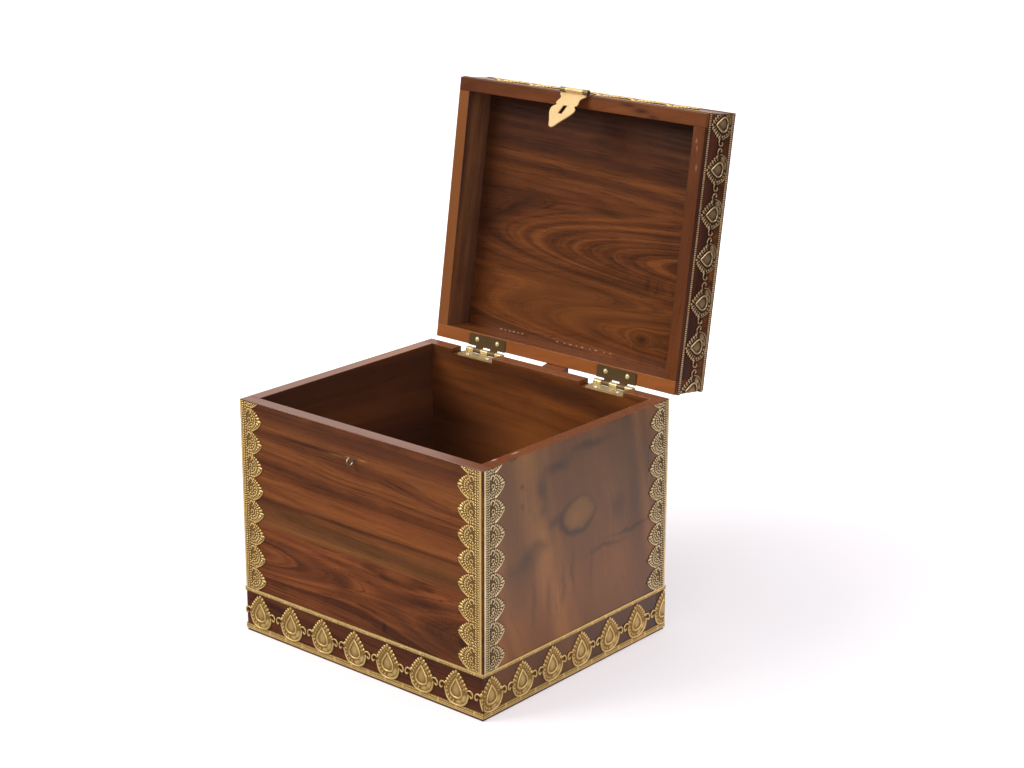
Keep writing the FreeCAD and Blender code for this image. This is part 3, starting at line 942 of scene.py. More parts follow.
LID_RAIL = WoodFinish("lid_rail", Run.ALONG_X_UPRIGHT, on_lid=True, shine=0.25, coat=0.0,
                      bands=40, warp=0.03)
BOARDS = {
    "base_front_upper_board": WoodFinish(
        "front_upper_board", Run.ALONG_X_UPRIGHT, lean=(0.03, 1.0, 0.4), warp=0.014, bands=46,
        faces=(Face(UP, (122, 76, 54), 0.5),),
        swells=(Swell((150, 202), (85, 13), 0.016), Swell((0, 200), (45, 6), 0.006),
                Swell((-140, 165), (100, 30), -0.014)),
        stains_and_painted_light=(StainAndPaintedLight((0, 240), (400, 34), (82, 46, 32), 0.45),
                StainAndPaintedLight((0, 134), (1200, 12), (108, 70, 36), 0.5),
                StainAndPaintedLight((-50, 124.5), (120, 3.5), (146, 98, 50), 0.4),
                StainAndPaintedLight((-65, 220.5), (60, 2.2), (48, 26, 18), 0.8),
                StainAndPaintedLight((70, 167), (120, 14), (144, 78, 36), 0.45),
                StainAndPaintedLight((20, 149.5), (300, 2.2), (56, 32, 20), 0.65)),
        chips=(StainAndPaintedLight((-8.5, 221.3), (4.5, 0.7), (190, 140, 104), 0.7),
               StainAndPaintedLight((8.5, 222.1), (4.5, 0.6), (180, 130, 96), 0.7),
               StainAndPaintedLight((-26, 219.9), (8, 0.5), (170, 120, 88), 0.55))),
    "base_front_lower_board": WoodFinish(
        "front_lower_board", Run.ALONG_X_UPRIGHT, lean=(0.04, 0.50, 0.4), warp=0.012, bands=64,
        dark_below=44, pale=(138, 74, 35), mid=(112, 59, 30), deep=(80, 42, 25), contrast=0.7,
        swells=(Swell((-190, 90), (170, 22), 0.110), Swell((190, 70), (130, 26), 0.080)),
        stains_and_painted_light=(StainAndPaintedLight((85, 98), (32, 6), (48, 27, 20), 0.6),
                StainAndPaintedLight((40, 110), (22, 4), (48, 27, 20), 0.6),
                StainAndPaintedLight((-20, 88), (14, 10), (50, 28, 20), 0.6),
                StainAndPaintedLight((34, 58), (2.6, 5), (32, 18, 14), 0.8),
                StainAndPaintedLight((100, 60), (80, 26), (68, 40, 27), 0.6))),
    "base_right_panel": WoodFinish(
        "right_wall", Run.UPRIGHT_Y, faces=(Face(UP, (112, 54, 18), 0.85),),
        lean=(0.16, 0.55, 0.4), warp=0.035, dark_below=44, roughness=0.27,
        pale=(158, 102, 50), mid=(118, 72, 37), deep=(80, 48, 27), ink=(42, 26, 19),
        contrast=0.2, grain=0.3, waver=0.013, swells=(Swell((166, -3), (13, 19), 0.030),),
        stains_and_painted_light=(StainAndPaintedLight((215, 0), (52, 300), (100, 62, 33), 0.5),
                StainAndPaintedLight((85, 0), (50, 300), (152, 86, 44), 0.4),
                StainAndPaintedLight((136, -88), (10, 24), WALNUT, 0.39),
                StainAndPaintedLight((166, -4), (20, 27.5), (40, 24, 17), 0.9, 5.0),
                StainAndPaintedLight((167.5, -2.5), (16.8, 23.5), (132, 86, 42), 0.9, 5.0),
                StainAndPaintedLight((164, -5), (6, 8), (150, 94, 48), 0.6),
                *(StainAndPaintedLight((up, across), (high, wide), WALNUT, strength)
                  for up, across, high, wide, strength in STREAKS)),
        chips=(StainAndPaintedLight((248, -110.7, 148), (2, 4, 1.2), (206, 178, 156), 0.75, 2.0),
               StainAndPaintedLight((248, -83.7, 150), (2, 5, 1), (200, 168, 144), 0.75, 2.0),
               StainAndPaintedLight((247.5, -98, 159), (2, 6, 3), (70, 42, 30), 0.7, 2.0),
               StainAndPaintedLight((190, 107.5, 160), (16, 0.6, 10), (66, 42, 32), 0.7, 2.0),
               StainAndPaintedLight((176, 109.5, 160), (8, 0.6, 10), (158, 128, 104), 0.5, 2.0))),
    "base_left_panel": WoodFinish(
        "left_wall", Run.ALONG_Y_UPRIGHT, grain=1.3, contrast=0.4, shift=(0.7, 0.3, 0.2),
        # The dark tint of the rightward faces is painted shade on the wall's inside.
        faces=(Face(UP, (150, 92, 52), 0.4), Face(RIGHTWARD, (70, 44, 36), 0.65)),
        bands=28, warp=0.02, dark_below=44),
    "base_back_panel": WoodFinish(
        "back_wall", Run.ALONG_X_UPRIGHT, faces=(Face(UP, (128, 70, 30), 0.6),),
        bands=34, warp=0.02, dark_below=44, lean=(0.08, 0.7, 0.4), shine=0.3,
        # Its colours are a little darker: partly the wood's own tone, partly painted shade of the
        # chest's inside.
        pale=(132, 74, 35), mid=(104, 58, 30), deep=(82, 46, 26), contrast=0.35, grain=1.1,
        waver=0.02,
        # The first patch is a painted shadow over the lower left of the inside; the second is a
        # painted pool of light higher up.
        stains_and_painted_light=(StainAndPaintedLight((-145, 80), (108, 78), (64, 38, 26), 0.62, 4.0),
                StainAndPaintedLight((0, 165), (60, 30), (172, 100, 50), 0.55),
                StainAndPaintedLight((-60, 222), (50, 10), (66, 38, 24), 0.5),
                StainAndPaintedLight((50, 235), (70, 12), (60, 34, 22), 0.6))),
    "base_bottom_board": WoodFinish(
        "bottom_board", Run.ALONG_X_FLAT, shift=(1.1, 0.4, 0.1), mid=(92, 50, 30)),
    "lid_stop_block": WoodFinish(
        "stop_block", Run.ALONG_X_UPRIGHT, shift=(1.7, 0.2, 0.6), bands=40),
    "lid_top_board": WoodFinish(
        "lid_panel", Run.ALONG_X_FLAT, on_lid=True, level=280, lean=(0.05, -0.75, 0.2),
        warp=0.014, bands=75, shine=0.25, coat=0.0, contrast=0.65, grain=1.7,
        pale=(122, 68, 30), mid=(100, 53, 25), deep=(80, 43, 22), ink=(40, 22, 13),
        swells=(Swell((200, 24), (280, 30), 0.160), Swell((200, 100), (280, 26), 0.140),
                Swell((87, 100.5), (12, 8), 0.050)),
        stains_and_painted_light=(StainAndPaintedLight((87, 100.5), (6, 4.5), (30, 16, 11), 0.95),
                # The next two dark patches, over the open lid's top and left, are partly stain and
                # partly painted shade.
                StainAndPaintedLight((-20, -130), (500, 70), (54, 30, 22), 0.75),
                StainAndPaintedLight((-160, -20), (50, 160), (62, 34, 24), 0.5),
                StainAndPaintedLight((0, 85), (120, 30), (136, 80, 36), 0.35),
                StainAndPaintedLight((50, 47), (100, 4.5), (50, 26, 16), 0.5),
                StainAndPaintedLight((30, -21), (22, 3), (44, 24, 15), 0.7)),
        chips=tuple(StainAndPaintedLight((along, 122.8 - along * 0.012, 284), (half, 0.7, 2),
                          (196, 164, 138), 0.62, 2.0) for along, half in SPECKS)),
    "lid_front_rail": replace(
        LID_RAIL, name="lid_front_rail", shift=(0.4, 0.1, 0.3),
        faces=(Face(FORWARD, STAINED, 0.6), Face(DOWN, (96, 50, 22), 0.6)),
        chips=(StainAndPaintedLight((64, 248, -136.5), (9, 10, 2.2), (46, 26, 18), 0.7),
               StainAndPaintedLight((81, 248, -132.5), (9, 10, 2.8), (40, 22, 16), 0.8),
               StainAndPaintedLight((96, 248, -128.5), (6, 10, 2), (46, 26, 18), 0.7))),
    "lid_back_rail": replace(
        LID_RAIL, name="lid_back_rail", shift=(0.9, 0.2, 0.1),
        faces=(Face(BACKWARD, STAINED, 0.6), Face(DOWN, (182, 108, 54), 0.5),
               Face(FORWARD, (130, 72, 36), 0.4))),
    "lid_left_rail": replace(
        LID_RAIL, name="lid_left_rail", run=Run.ALONG_Y_UPRIGHT, shift=(0.2, 0.6, 0.1),
        warp=0.02, mid=(108, 68, 48), deep=(84, 54, 42), pale=(132, 86, 56), grain=1.2,
        faces=(Face(LEFTWARD, STAINED, 0.6), Face(DOWN, (136, 80, 38), 0.8))),
    "lid_right_rail": replace(
        LID_RAIL, name="lid_right_rail", run=Run.ALONG_Y_UPRIGHT, shift=(0.5, 0.1, 0.7),
        mid=(96, 54, 32), deep=(68, 38, 26), pale=(120, 68, 38),
        faces=(Face(RIGHTWARD, STAINED, 0.7), Face(DOWN, (100, 52, 20), 0.6)),
        chips=(StainAndPaintedLight((-112.1, 248, 151.5), (2.4, 3, 1), (166, 122, 98), 0.6, 1.5),
               StainAndPaintedLight((-105, 248, 153), (2.6, 3, 0.7), (168, 124, 96), 0.6, 1.5),
               StainAndPaintedLight((-86, 248, 154.6), (3, 3, 0.9), (166, 122, 98), 0.6, 1.5),
               StainAndPaintedLight((-60, 248, 148), (10, 3, 0.8), (60, 34, 24), 0.5, 2.0)))}


@dataclass
class Woodwork:
    """The boards of the base and the lid, dressed where they stand."""

    lid: LidPose
    finishes: dict[str, WoodFinish] = field(default_factory=lambda: BOARDS)

    def dress(self) -> None:
        """Gives each board its own wood."""
        for node, finish in self.finishes.items():
            dress_node(node, finish.material(self.lid))


def dress_node(node: str, material: Material) -> None:
    """Gives a CAD node a finish.

    Args:
        node: the node's name.
        material: its finish.
    """
    for slot in frame["nodes"][node].material_slots:
        slot.material = material
    log.info("%s: %s", node, material.name)


# Stamped brass

STAMPED = MetalFinish("stamped_brass", (254, 216, 142), (230, 188, 114), (124, 88, 42),
                      stamped=True, metallic=0.40, roughness=0.30, bump=0.3)
# Copy for the side strips: painted shade in its darker hollows and painted haze of reflected light
# on its paler crests.
SIDE_STAMPED_PAINTED_LIGHT = replace(STAMPED, name="side_brass_painted_shade_and_haze", bright=(255, 230, 184),
                       dull=(228, 196, 144), hollow=(94, 68, 42), metallic=0.60)
DROP_STAMPED = replace(STAMPED, name="drop_stamped_brass", bright=(254, 218, 146),
                       dull=(222, 180, 110), hollow=(158, 118, 62), metallic=0.45, bump=0.4)
# Darker copy for the lid's chains and borders: painted shade and a painted dark reflection in its
# dull colours and dark hollows.
LID_STAMPED_PAINTED_SHADE = replace(STAMPED, name="lid_stamped_brass", bright=(240, 204, 156),
                      dull=(186, 150, 108), hollow=(60, 44, 32), metallic=0.85, roughness=0.28)


def around(angle: float, radius: float, centre: Point) -> Point:
    """Finds the point at an angle from straight out, in degrees, and a radius."""
    turn = math.radians(angle)
    return (centre[0] + math.sin(turn) * radius, centre[1] + math.cos(turn) * radius)


@dataclass
class Strip:
    """A strip of stamped fans: X runs along it, Y points to the fans' tips and Z outward."""

    pitch: float = 24.2
    valley: float = 15.5
    sheet: float = 0.45
    top: float = 1.2
    root: float = 12.2
    bed: float = 0.42
    rail: Point = (0.3, 2.6)
    bead_count: int = 11
    bead_line: float = 4.1
    rope_count: int = 9
    rope_line: float = 7.0
    rib_step: float = 14.0
    rib_foot: float = 9.9
    rib_fill: float = 0.86
    ribs_each_side: int = 5
    ribs_beyond: int = 2
    stud_ring: float = 8.3
    petal_ring: float = 5.4
    reaches: tuple[Point, ...] = ((0, 17.8), (12, 16.2), (28, 14.3), (45, 13.0), (60, 12.6),
                                  (75, 12.6))
    curl: tuple[Point, ...] = ((-6.6, 12.4), (-5.2, 15.0), (-2.4, 14.6), (-1.1, 11.8),
                               (-2.2, 9.6), (-4.8, 9.4))

    def cell(self) -> Piece:
        """Models one fan with its stretch of beads, rope and rail."""
        pieces = [plate(self.outline(), self.sheet), *self.ribs(), *self.heart(), *self.edging()]
        return mark_relief(joined("fan", pieces), self.top)

    def at(self, angle: float, reach: float) -> Point:
        """Finds a point of the fan from its root."""
        return around(angle, reach, (self.pitch / 2, self.root))

    def reach(self, angle: float) -> float:
        """Finds how far the fan's pointed edge is from its root at an angle.

        Args:
            angle: the angle in degrees.

        Returns:
            The distance in millimetres.
        """
        for (low, near), (high, far) in zip(self.reaches, self.reaches[1:]):
            if abs(angle) <= high:
                return near + (far - near) * (abs(angle) - low) / (high - low)
        return self.reaches[-1][1]

    def angles(self, beyond: int = 0) -> list[float]:
        """Lists the angles of the ribs, with some beyond the fan's edge on each side."""
        last = self.ribs_each_side + beyond
        return [index * self.rib_step for index in range(-last, last + 1)]

    def stud(self, angle: float, ring: float, size: Triple) -> Piece:
        """Models a stud that points to the fan's root."""
        return bead((*self.at(angle, ring), self.bed), size, -angle)

    def ribs(self) -> list[Piece]:
        """Models the ribs in two rows, and the plain rim that closes their lower side."""
        made = []
        width = math.radians(self.rib_step / 2) * self.rib_fill
        for angle in self.angles(self.ribs_beyond):
            under_rim = -75 < angle < -12
            slope = max(0.1, abs(math.sin(math.radians(angle))))
            edge = min(self.reach(angle) - (1.7 if under_rim else 0.3),
                       (self.pitch / 2 - 0.5) / slope)
            middle, half = (edge + self.rib_foot) / 2, (edge - self.rib_foot) / 2
            made.append(self.stud(angle, middle, (middle * width, half, 0.80)))
            if angle < 75:
                made.append(self.stud(angle, self.stud_ring,
                                      (self.stud_ring * width, 1.45, 0.72)))
        rim = [self.at(angle, self.reach(angle) - 0.7) for angle in (-76, -62, -48, -34, -20, -6)]
        made.append(wire(rim, 0.84, 0.46, flat=0.84, start=1.15, end=0.7))
        return made

    def heart(self) -> list[Piece]:
        """Models the petals, the scroll at the fan's root and the bright curl beside it."""
        made = [self.stud(angle, self.petal_ring, (1.15, 1.2, 0.70))
                for angle in range(-105, 60, 30)]
        made += [bead((along, across, self.bed), (1.6, 0.72, 0.68), turn)
                 for along, across, turn in ((1.7, 9.2, 20), (5.3, 9.3, -12))]
        scroll = [self.at(angle, 3.4 - 0.0065 * (angle + 110)) for angle in range(-110, 290, 50)]
        made.append(wire(scroll, 0.62, 0.48, end=0.8))
        curl = [(self.pitch + along, across) for along, across in self.curl]
        made.append(wire(curl, 1.25, 0.36, flat=0.74, start=0.6, end=0.8))
        return made

    def edging(self) -> list[Piece]:
        """Models the rail, the row of beads and the rope that run beside the fans."""
        rail = placed(bar(self.pitch, *self.rail, self.top * 0.42),
                      Matrix.Translation((0, 0, self.sheet * MM)))
        return [rail, *self.row(self.bead_count, self.bead_line, 0.46, (0.92, 1.15, 0.80)),
                *self.row(self.rope_count, self.rope_line, self.bed, (1.6, 0.85, 0.68), 48)]

    def row(self, count: int, line: float, level: float, size: Triple,
            turn: float = 0.0) -> list[Piece]:
        """Models a row of studs along one fan.

        Args:
            count: how many there are.
            line: how far the row is from the strip's edge.
            level: height of the studs' middles.
            size: half their length, width and height.
            turn: their turn in degrees.

        Returns:
            The studs.
        """
        return [bead(((index + 0.5) * self.pitch / count, line, level), size, turn)
                for index in range(count)]

    def outline(self) -> list[Point]:
        """Finds the outline of one fan's sheet, whose edge follows its ribs."""
        points = [(0.0, 0.0), (self.pitch, 0.0), (self.pitch, self.valley)]
        quarter = self.rib_step * 0.27
        for angle in self.angles()[::-1]:
            reach = self.reach(angle)
            points += [self.at(angle + quarter, reach + 0.1), self.at(angle - quarter, reach + 0.1),
                       self.at(angle - 2 * quarter + 0.4, reach - 0.5)]
        points[-1] = (0.0, self.valley)
        return [(min(max(x, 0.0), self.pitch), y) for x, y in points]

    def run(self, name: str, length: float) -> Piece:
        """Lays fans along a length, the last one cut where the strip ends.

        Args:
            name: the strip's name.
            length: its length in millimetres.

        Returns:
            The strip.
        """
        count = math.ceil(length / self.pitch - 0.01)
        strip = arrayed(self.cell(), count, self.pitch)
        if count * self.pitch - length > 0.01:
            strip = trimmed(strip, length, RIGHTWARD)
        strip.name = name
        return strip


@dataclass
class Drop:
    """A stamped drop and its two ears: X runs along, Y points to its tip."""

    rise: float = 23.2
    sheet: float = 0.6
    top: float = 1.6
    bed: float = 0.6
    bowl_radius: float = 1.05
    boss_foot: float = -4.8
    boss_half: Triple = (6.0, 8.2, 0.60)
    edge: tuple[Point, ...] = ((1.5, -14.4), (6.5, -12.6), (11.4, -9.2), (14.0, -4.4), (14.9, 0.4),
                               (14.2, 4.8), (12.8, 8.4), (10.7, 11.8), (8.3, 14.9), (5.7, 17.8),
                               (3.0, 20.6))
    teardrop: tuple[Point, ...] = ((2.982, 9.18), (6.674, 3.46), (7.384, -2.004), (3.55, -5.6))
    teardrop_tip: float = 13.6
    lumps: tuple[Point, ...] = ((3.3, 19.2), (5.8, 16.5), (8.2, 13.5), (10.6, 10.4), (12.5, 7.0))
    pearls: tuple[Point, ...] = ((1.7, 16.6), (3.9, 14.2), (6.1, 11.4), (8.2, 8.4), (9.8, 5.2))
    foot_lumps: tuple[Point, ...] = ((-3.6, -9.6), (-7.0, -8.0), (-9.8, -5.4), (-11.4, -2.0),
                                     (-11.8, 1.6))
    bowl: tuple[Point, ...] = ((15.4, 2.4), (14.6, -3.6), (11.6, -9.2), (4.6, -12.9), (-3.8, -12.9),
                               (-9.8, -10.2), (-13.2, -4.4), (-14.4, 1.8))
    ear: tuple[Point, ...] = ((13.4, 5.0), (16.2, 6.6), (19.6, 5.8), (21.1, 2.8), (20.2, -0.4),
                              (17.9, -0.6), (17.4, 1.6))

    def cell(self) -> Piece:
        """Models one drop about its centre."""
        tip = (0, self.teardrop_tip)
        teardrop = [tip, *self.teardrop, *mirrored(self.teardrop), tip]
        pieces = [plate([*self.edge, (0.0, self.rise - 0.4), *mirrored(self.edge)], self.sheet),
                  self.boss(), wire(teardrop, 0.95, 0.85, closed=True, flat=0.78),
                  *self.studs(), *self.dish(),
                  wire(self.bowl, self.bowl_radius, 0.72, flat=0.8, start=1.1, end=0.85)]
        for side in (-1, 1):
            hook = [(side * across, up) for across, up in self.ear]
            pieces.append(wire(hook, 1.05, 0.66, flat=0.84, start=0.8, end=0.85))
        return mark_relief(joined("drop", pieces), self.top)

    def boss(self) -> Piece:
        """Models the low smooth boss inside the teardrop, drawn to a point."""
        half_length = self.boss_half[1]
        made = bead((0, self.boss_foot + half_length, 0.40), self.boss_half, 0, 14, 8)
        for vertex in made.data.vertices:
            share = max(0.0, (vertex.co.y / MM - self.boss_foot) / (2 * half_length) - 0.4)
            vertex.co.x *= 1 - 1.3 * share
        return made

    def studs(self) -> list[Piece]:
        """Models the lumps down both sides from the tip, and the pearls inside them."""
        made = [bead((0, self.rise - 2.0, self.bed), (1.3, 1.8, 0.9), 0, 8, 5)]
        for side in (-1, 1):
            made += [bead((side * across, up, self.bed), (2.0, 1.45, 0.95), side * 32, 7)
                     for across, up in self.lumps]
            made += [bead((side * across, up, self.bed), (1.15, 0.8, 0.6), -side * 52)
                     for across, up in self.pearls]
        return made

    def dish(self) -> list[Piece]:
        """Models the smooth dish under one side of the teardrop and the lumps under the other."""
        made = [bead((9.6, -4.2, 0.5), (5.4, 3.2, 0.62), 58, 10, 6),
                bead((3.4, -9.2, 0.5), (4.6, 2.4, 0.62), 14, 10, 6)]
        return made + [bead((*place, 0.55), (1.35, 1.5, 0.72)) for place in self.foot_lumps]


def mirrored(points: Sequence[Point]) -> list[Point]:
    """Mirrors a line about the middle, in the other order."""
    return [(-across, up) for across, up in points[::-1]]


class Rows(Enum):
    """Where a border's rails and dashes lie, as shares of its height from its bottom."""

    RAIL_ABOVE = ((0.56, 0.96),), 0.27
    RAILS_BELOW = ((0.04, 0.22), (0.34, 0.50)), 0.76
    DASHES_ALONE = (), 0.50


@dataclass
class Border:
    """A flat band with raised rails and a row of dashes: X along, Y up, Z out."""

    height: float
    dash_pitch: float
    rows: Rows = Rows.DASHES_ALONE
    dash_turn: float = 0.0
    dash_share: float = 0.25
    knot_pitch: float = 0.0
    dash_fill: float = 0.34
    knot_half: float = 1.6
    sheet: float = 0.4
    top: float = 0.9
    sunk: float = 0.08

    def run(self, length: float) -> Piece:
        """Models the band along one side.

        Args:
            length: its length in millimetres.

        Returns:
            The band.
        """
        rails, middle = self.rows.value
        dash_half = self.step(length, self.dash_pitch) * self.dash_fill
        pieces = [bar(length, 0, self.height, self.sheet)]
        pieces += [bar(length, low * self.height, high * self.height, self.top - self.sunk)
                   for low, high in rails]
        pieces.append(self.row(length, self.dash_pitch, middle,
                               (dash_half, self.dash_share, 0.46), self.dash_turn))
        if self.knot_pitch:
            pieces.append(self.row(length, self.knot_pitch, 0.5, (self.knot_half, 0.46, 0.48),
                                   0, 8, 5))
        return mark_relief(joined("border", pieces), self.top)

    def step(self, length: float, pitch: float) -> float:
        """Finds the pitch nearest to the one asked for that fills a length."""
        return length / round(length / pitch)

    def row(self, length: float, pitch: float, middle: float, half: Triple, turn: float,
            *cut: int) -> Piece:
        """Models a row of studs along the band, as many as fill its length.

        Args:
            length: the band's length.
            pitch: how far apart they are, about.
            middle: where the row lies, as a share of the band's height.
            half: half sizes, the second as a share of the band's height.
            turn: the studs' turn in degrees.
            cut: how finely they are cut.

        Returns:
            The row.
        """
        step = self.step(length, pitch)
        size = (half[0], half[1] * self.height, half[2])
        stud = bead((step / 2, self.height * middle, self.sheet), size, turn, *cut)
        return arrayed(stud, round(length / pitch), step)


@dataclass
class Trims:
    """All the stamped brass, laid on the base and on the lid."""

    chest: Chest
    lid: LidPose
    brass: Material
    side_brass_painted_light: Material
    drop_brass: Material
    lid_brass: Material
    strip: Strip = field(default_factory=Strip)
    drop: Drop = field(default_factory=Drop)
    lid_drop: Drop = field(default_factory=lambda: Drop(bowl_radius=0.6))
    strip_width: float = 30.0
    margin: float = 0.9
    edge_round: float = 0.7
    band_top: float = 48.0
    base_drop_height: float = 20.0
    base_first_drop: float = 33.0
    base_lap: float = 0.5
    dash_turn: float = math.degrees(0.30)
    dash_half: float = 1.05
    knot_pitch: float = 22.2
    lid_drop_height: float = 31.4
    lid_first_drop: float = 11.0
    lid_pitch: float = 44.4
    hasp_centre: float = -3.0
    hasp_break: float = 18.6

    def build(self) -> None:
        """Models every strip, chain and border."""
        self.corner_strips()
        self.lid_top_strips()
        self.base_borders()
        self.lid_borders()
        self.base_chain()
        self.lid_chains()

    def corner_strips(self) -> None:
        """Stands a strip at each end of each side, its fans pointing away from the corner."""
        neighbours = {Side.FRONT: ("left", "right"), Side.RIGHT: ("front", "back"),
                      Side.BACK: ("right", "left"), Side.LEFT: ("back", "front")}
        model = self.strip.run("strip", self.chest.rim - self.band_top - self.edge_round)
        for side, (start, end) in neighbours.items():
            ground = self.chest.side(side, self.band_top)
            along, up, out = (ground.col[i].to_3d() for i in range(3))
            base = ground.translation
            far = base + along * (self.chest.length(side) - self.margin) * MM
            near = base + along * self.margin * MM
            for corner, matrix in ((start, frame_matrix(up, along, out, near)),
                                   (end, frame_matrix(up, -along, out, far))):
                name = f"{side.name.lower()}_{corner}"
                # The side strips take the copy with painted shade and painted haze.
                brass = self.brass if side.wide else self.side_brass_painted_light
                finished(copied(model, f"{name}_fans", matrix), brass, "base", "strip_brass",
                         f"{name}_corner_strip")
        bpy.data.objects.remove(model)

    def lid_top_strips(self) -> None:
        """Lays a strip along each edge of the lid's top, its fans pointing inward."""
        setback = self.margin + self.strip_width + 1.0
        for side in Side:
            name = f"lid_top_{side.name.lower()}"
            inset = self.margin if side.wide else setback
            length = self.chest.length(side) - 2 * inset
            pitch = length / round(length / self.strip.pitch)
            strip = Strip(pitch=pitch).run(f"{name}_fans", length)
            ground = self.chest.side(side, self.chest.lid_top)
            along, up, out = (ground.col[i].to_3d() for i in range(3))
            start = ground.translation + along * inset * MM - out * self.margin * MM
            placed(strip, self.lid.opening() @ frame_matrix(along, -out, up, start))
            finished(strip, self.brass, "lid", "strip_brass", f"{name}_strip")

    def base_borders(self) -> None:
        """Wraps the two borders of the base's band round it."""
        for node, low, high, rows in (
                ("base_upper_border", 43.6, 48.0, Rows.RAIL_ABOVE),
                ("base_lower_border", 2.0, 8.0, Rows.RAILS_BELOW)):
            border = Border(high - low, 1.9, rows, self.dash_turn, self.dash_half / (high - low),
                            self.knot_pitch)
            pieces = [self.border_side(side, low, border) for side in Side]
            piece = joined(node.replace("border", "dashes"), pieces)
            finished(piece, self.brass, "base", "border_brass", node)

    def border_side(self, side: Side, low: float, border: Border) -> Piece:
        """Lays a border on one side, lapped over the corners at the front and back."""
        lap = border.top if side.wide else 0
        return self.stretch(side, low, border, -lap, self.chest.length(side) + lap)

    def stretch(self, side: Side, low: float, border: Border, start: float, end: float) -> Piece:
        """Lays a border on a side between two places along it.

        Args:
            side: the side.
            low: the border's foot above the floor, in millimetres.
            border: the border.
            start, end: the two places, in millimetres.

        Returns:
            The stretch.
        """
        ground = self.chest.side(side, low)
        ground.translation += ground.col[0].to_3d() * start * MM
        return placed(border.run(end - start), ground)

    def lid_borders(self) -> None:
        """Wraps the lid's two borders, the lower one broken for the hasp's plate."""
        middle = self.chest.width / 2 + self.hasp_centre
        for node, low, high, broken in (("lid_lower_border", 5.0, 9.0, True),
                                        ("lid_upper_border", 43.5, 48.0, False)):
            border, low = Border(high - low, 2.1, dash_share=0.54), self.chest.rim + low
            pieces = []
            for side in Side:
                if broken and side is Side.FRONT:
                    pieces += [self.stretch(side, low, border, start, end) for start, end in (
                        (-border.top, middle - self.hasp_break),
                        (middle + self.hasp_break, self.chest.width + border.top))]
                else:
                    pieces.append(self.border_side(side, low, border))
            piece = placed(joined(node.replace("border", "dashes"), pieces), self.lid.opening())
            finished(piece, self.lid_brass, "lid", "border_brass", node)

    def chain(self, drop: Drop, side: Side, height: float, flip: bool, centres: Sequence[float],
              low: float, high: float) -> Piece:
        """Lays drops on one side and cuts them where the side ends.

        Args:
            drop: the drop that is repeated.
            side: the side.
            height: height of the drops' centres above the floor.
            flip: whether their tips point down.
            centres: their places along the side.
            low, high: where the chain is cut.

        Returns:
            The chain.
        """
        row = arrayed(drop.cell(), len(centres), centres[1] - centres[0])
        turn = Matrix.Rotation(math.pi if flip else 0, 4, "Z")
        start = centres[-1] if flip else centres[0]
        row = placed(row, Matrix.Translation((start * MM, 0, 0)) @ turn)
        row = trimmed(trimmed(row, low, LEFTWARD), high, RIGHTWARD)
        return placed(row, self.chest.side(side, height))

    def base_chain(self) -> None:
        """Wraps the chain of drops round the base, over its corners."""
        perimeter = 2 * (self.chest.width + self.chest.depth)
        pitch = perimeter / round(perimeter / self.lid_pitch)
        first = self.chest.width - self.base_first_drop
        travelled, pieces = 0.0, []
        for side in Side:
            length = self.chest.length(side)
            lap = self.base_lap if side.wide else 0
            lowest = math.floor((travelled - first) / pitch)
            highest = math.ceil((travelled + length - first) / pitch)
            centres = [first + index * pitch - travelled for index in range(lowest, highest + 1)]
            pieces.append(self.chain(self.drop, side, self.base_drop_height, False, centres,
                                     -lap, length + lap))
            travelled += length
        finished(joined("base_drops", pieces), self.drop_brass, "base", "chain_brass",
                 "base_drop_chain")

    def lid_chains(self) -> None:
        """Lays a chain on each side of the lid, its tips towards the rim."""
        for side in Side:
            length, front = self.chest.length(side), side is Side.FRONT
            count, first = 6 if front else 7, self.lid_first_drop
            if side.wide:
                middle = length / 2 + (self.hasp_centre if front else 0)
                first = middle - (count - 1) * self.lid_pitch / 2
            centres = [first + index * self.lid_pitch for index in range(count)]
            if side is Side.LEFT:
                centres = [length - centre for centre in centres[::-1]]
            chain = self.chain(self.lid_drop, side, self.chest.rim + self.lid_drop_height, True,
                               centres, self.margin, length - self.margin)
            name = f"lid_{side.name.lower()}"
            chain.name = f"{name}_drops"
            finished(placed(chain, self.lid.opening()), self.brass if front else self.lid_brass,
                     "lid", "chain_brass", f"{name}_chain")


# Hinges, hasp and staple

@dataclass
class Hardware:
    """The plain metal pieces, dressed where they stand."""

    metals: tuple[tuple[MetalFinish, tuple[str, ...]], ...] = (
        (MetalFinish("leaf_brass", (214, 194, 146), (168, 146, 100), roughness=0.30),
         ("left_hinge_base_leaf", "right_hinge_base_leaf", "left_hinge_pin", "right_hinge_pin")),
        (MetalFinish("pale_brass", (238, 222, 176), (206, 186, 136), roughness=0.26,
                     metallic=0.5), ("hinge_base_screws", "hinge_lid_screws")),
        (MetalFinish("staple_nickel", (214, 208, 190), (150, 142, 120), metallic=0.9,
                     roughness=0.24), ("staple_eye",)),
        # Darker copy of the hinge brass for the lid's leaves: painted shade.
        (MetalFinish("lid_leaf_brass", (118, 94, 58), (84, 64, 38)),
         ("left_hinge_lid_leaf", "right_hinge_lid_leaf")),
        (MetalFinish("strap_brass", (226, 196, 142), (206, 172, 118), roughness=0.46,
                     tarnish=0.35), ("hasp_strap",)),
        # Darker copy of the hasp's brass for its lid plate and barrel: partly tarnish, partly
        # painted shade.
        (MetalFinish("barrel_brass_tarnish_and_shade", (146, 124, 82), (106, 88, 56)),
         ("hasp_lid_plate", "hasp_plate_nails")),
        (MetalFinish("pin_steel", (70, 66, 62), (44, 40, 38), roughness=0.4), ("hasp_pin",)))

    def dress(self) -> None:
        """Gives each piece its metal."""
        for finish, nodes in self.metals:
            material = finish.material()
            for node in nodes:
                dress_node(node, material)


# Studio

